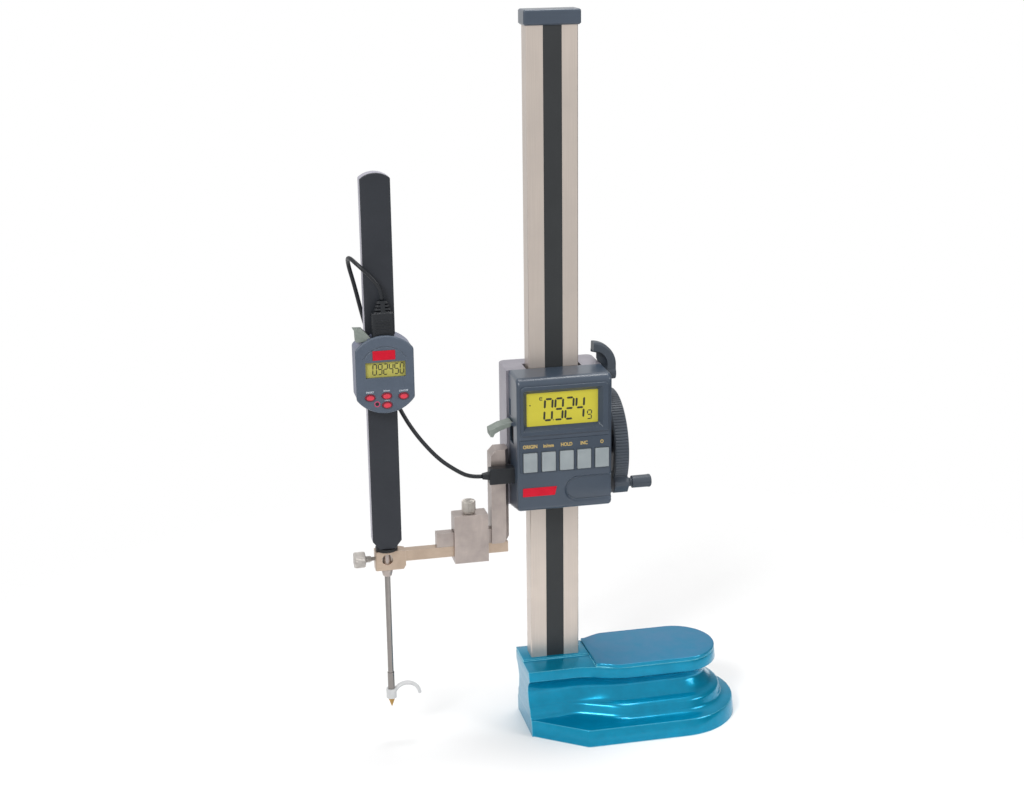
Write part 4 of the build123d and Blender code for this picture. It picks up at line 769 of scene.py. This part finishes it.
# the two readings and the small marks of the main display
LCD_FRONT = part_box("lcd_panel")[0].y
MODULE_LCD_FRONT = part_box("module_lcd")[0].y
SIGN_X, SIGN_Z = -23.6 * MM, 372.6 * MM
SIGN_SIZE = 3.0 * MM
SIGN_BAR = 0.7 * MM
DOT_LEFT, DOT_RIGHT, DOT_Z = -34.4 * MM, -32.6 * MM, 367.8 * MM
DOT_SIZE = 1.5 * MM


def unit_marks(bm):
    """The small marks at the left of the main display: a unit sign and a dot."""
    for z in (SIGN_Z, SIGN_Z + SIGN_SIZE / 2, SIGN_Z + SIGN_SIZE):
        bar(bm, (SIGN_X, z), (SIGN_X + SIGN_SIZE, z), SIGN_BAR, LCD_FRONT)
    bar(bm, (SIGN_X, SIGN_Z), (SIGN_X, SIGN_Z + SIGN_SIZE), SIGN_BAR, LCD_FRONT)
    bar(bm, (DOT_LEFT, DOT_Z), (DOT_RIGHT, DOT_Z), DOT_SIZE, LCD_FRONT)


main_reading = numerals("main_reading", "0924", left=-19.0 * MM, bottom=351.2 * MM, width=7.8 * MM,
                        height=22.0 * MM, pitch=10.9 * MM, y=LCD_FRONT)
fine_digit = numerals("fine_digit", "9", left=25.6 * MM, bottom=349.6 * MM, width=4.2 * MM,
                      height=9.0 * MM, pitch=5.0 * MM, y=LCD_FRONT)
display_marks = new_mesh("display_marks", unit_marks)
indicator_reading = numerals("indicator_reading", "092450", left=-189.2 * MM, bottom=408.8 * MM,
                             width=3.6 * MM, height=10.4 * MM, pitch=5.4 * MM, y=MODULE_LCD_FRONT,
                             parted=0.0)
for marks in (main_reading, fine_digit, display_marks):
    attach(marks, INK, "carriage")
attach(indicator_reading, INK, "holder")

# legends over the keys: the word, and for the indicator its height above the key's middle and its size
KEYPAD_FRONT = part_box("keypad_frame")[0].y
KEY_WORDS = ("ORIGIN", "in/mm", "HOLD", "INC", "O")
KEY_WORDS_Z = 325.6 * MM
FASCIA_FRONT = -42.0 * MM
OVAL_WORDS = (("PRESET", 5.5 * MM, 2.5 * MM), ("in/mm", 5.5 * MM, 2.5 * MM),
              ("ON/OFF", 5.5 * MM, 2.5 * MM), ("ZERO", 4.75 * MM, 1.9 * MM))
for number, word in enumerate(KEY_WORDS, 1):
    low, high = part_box("button_%d" % number)
    legend = lettering("key_legend_%d" % number, word, x=(low.x + high.x) / 2, z=KEY_WORDS_Z,
                       size=5.2 * MM, y=KEYPAD_FRONT, narrow=0.84)
    attach(legend, LEGEND, "carriage")
for number, (word, above, size) in enumerate(OVAL_WORDS, 1):
    low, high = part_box("oval_button_%d" % number)
    legend = lettering("oval_legend_%d" % number, word, x=(low.x + high.x) / 2,
                       z=(low.z + high.z) / 2 + above, size=size, y=FASCIA_FRONT)
    attach(legend, LEGEND_WHITE, "holder")


# finger ridges of the indicator's plug; the profile is (out, up) in millimetres
RIDGES = 6
FIRST_RIDGE = 4.5 * MM
RIDGE_PITCH = 3.1 * MM
RIDGE_REACH = 7.6 * MM
RIDGE_PROFILE = ((0.0, -0.7), (0.55, -0.45), (0.55, 0.45), (0.0, 0.7))


def plug_ridges(bm):
    """The finger ridges across the front of the indicator's plug."""
    low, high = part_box("indicator_plug")
    middle = (low.x + high.x) / 2
    for k in range(RIDGES):
        z = low.z + FIRST_RIDGE + k * RIDGE_PITCH
        prism(bm, *([Vector((x, low.y - out * MM, z + up * MM)) for out, up in RIDGE_PROFILE]
                    for x in (middle - RIDGE_REACH, middle + RIDGE_REACH)))


attach(new_mesh("plug_ridges", plug_ridges), RUBBER, "holder")


# rings on the indicator's front
RING_THICKNESS = 0.5 * MM
RESET_RING = (2.05 * MM, 2.9 * MM)
RESET_RING_PROUD = 0.2 * MM
OVAL_RIM = (3.7 * MM, 4.85 * MM)
OVAL_RIM_PROUD = 0.05 * MM
OVAL_SQUASH = 0.66


def ring(bm, centre, inner, outer, y, squash=1.0, sides=40):
    """A flat ring that faces the front at y; squash is its height over its width."""
    back = y + RING_THICKNESS
    ways = [(math.cos(a), squash * math.sin(a)) for a in (2 * math.pi * k / sides for k in range(sides))]
    loops = [[bm.verts.new((centre.x + radius * across, depth, centre.z + radius * up))
              for across, up in ways]
             for radius, depth in ((inner, back), (inner, y), (outer, y), (outer, back))]
    for before, after in zip(loops, loops[1:] + loops[:1]):
        bridge(bm, before, after)


low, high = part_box("reset_button")
reset_ring = new_mesh("reset_ring", lambda bm: ring(bm, (low + high) / 2, *RESET_RING,
                                                    FASCIA_FRONT - RESET_RING_PROUD))
attach(reset_ring, RING_PINK, "holder")
for number in range(1, 5):
    name = "oval_button_%d" % number
    low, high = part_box(name)
    rim = new_mesh("oval_rim_%d" % number, lambda bm: ring(bm, (low + high) / 2, *OVAL_RIM,
                                                           low.y - OVAL_RIM_PROUD, OVAL_SQUASH))
    attach(rim, RIM_RED, name)


# ---------------------------------------------------------------- stage
FLOOR_REACH = 1.2
FLOOR_WHITE = (0.9, 0.9, 0.9, 1.0)
FLOOR_CENTRE = (0.02, -0.05, 0.0)
FLOOR_SOLID = 0.28
FLOOR_GONE = 0.85
AMBIENT = 0.5
REFLECTION_FRONT = 0.8
REFLECTION_RIGHT = 0.12


def make_floor():
    """A pale floor round the object that keeps its shadow and fades out into the white."""
    mesh = bpy.data.meshes.new("floor")
    corners = [(x * FLOOR_REACH, y * FLOOR_REACH, 0) for x, y in ((-1, -1), (1, -1), (1, 1), (-1, 1))]
    mesh.from_pydata(corners, [], [(0, 1, 2, 3)])
    floor = bpy.data.objects.new("floor", mesh)
    bpy.context.collection.objects.link(floor)
    material = bpy.data.materials.new("floor")
    material.use_nodes = True
    tree = material.node_tree
    tree.nodes.clear()
    out = tree.nodes.new("ShaderNodeOutputMaterial")
    matt = tree.nodes.new("ShaderNodeBsdfDiffuse")
    matt.inputs["Color"].default_value = FLOOR_WHITE
    clear = tree.nodes.new("ShaderNodeBsdfTransparent")
    centre = tree.nodes.new("ShaderNodeVectorMath")
    centre.operation = "DISTANCE"
    centre.inputs[1].default_value = FLOOR_CENTRE
    tree.links.new(tree.nodes.new("ShaderNodeTexCoord").outputs["Object"], centre.inputs[0])
    fade = tree.nodes.new("ShaderNodeMapRange")
    fade.interpolation_type = "SMOOTHSTEP"
    tree.links.new(centre.outputs["Value"], fade.inputs["Value"])
    fade.inputs["From Min"].default_value = FLOOR_SOLID
    fade.inputs["From Max"].default_value = FLOOR_GONE
    both = tree.nodes.new("ShaderNodeMixShader")
    tree.links.new(fade.outputs["Result"], both.inputs[0])
    tree.links.new(matt.outputs[0], both.inputs[1])
    tree.links.new(clear.outputs[0], both.inputs[2])
    tree.links.new(both.outputs[0], out.inputs["Surface"])
    mesh.materials.append(material)


def make_world():
    """White to the camera, softer as light, and darker to the right in reflections, to shape metal."""
    world = bpy.data.worlds.new("studio")
    bpy.context.scene.world = world
    world.use_nodes = True
    tree = world.node_tree
    tree.nodes.clear()
    out = tree.nodes.new("ShaderNodeOutputWorld")
    sky = tree.nodes.new("ShaderNodeBackground")
    path = tree.nodes.new("ShaderNodeLightPath")
    way = tree.nodes.new("ShaderNodeSeparateXYZ")
    tree.links.new(tree.nodes.new("ShaderNodeTexCoord").outputs["Generated"], way.inputs[0])
    strength = remap(tree, way.outputs[0], 0.3, 0.8, REFLECTION_FRONT, REFLECTION_RIGHT)
    for ray, value in (("Is Diffuse Ray", AMBIENT), ("Is Camera Ray", 1.0)):
        choose = tree.nodes.new("ShaderNodeMix")
        choose.data_type = "FLOAT"
        tree.links.new(path.outputs[ray], choose.inputs[0])
        tree.links.new(strength, choose.inputs[2])
        choose.inputs[3].default_value = value
        strength = choose.outputs[0]
    tree.links.new(strength, sky.inputs["Strength"])
    sky.inputs["Color"].default_value = (1.0, 1.0, 1.0, 1.0)
    tree.links.new(sky.outputs[0], out.inputs["Surface"])


def softbox(name, spot, size, power):
    """A square area lamp that faces the middle of the object."""
    data = bpy.data.lights.new(name, "AREA")
    data.size = size
    data.energy = power
    lamp = bpy.data.objects.new(name, data)
    lamp.location = spot
    lamp.rotation_euler = (CAMERA_TARGET - Vector(spot)).to_track_quat("-Z", "Y").to_euler()
    bpy.context.collection.objects.link(lamp)


make_floor()
make_world()
softbox("key_left", spot=(-1.6, -1.8, 2.0), size=0.9, power=42.0)
softbox("fill_right", spot=(1.9, -1.5, 1.3), size=1.0, power=20.0)
softbox("top", spot=(0.2, 0.3, 2.6), size=0.9, power=28.0)

bpy.context.scene.view_settings.view_transform = "Standard"
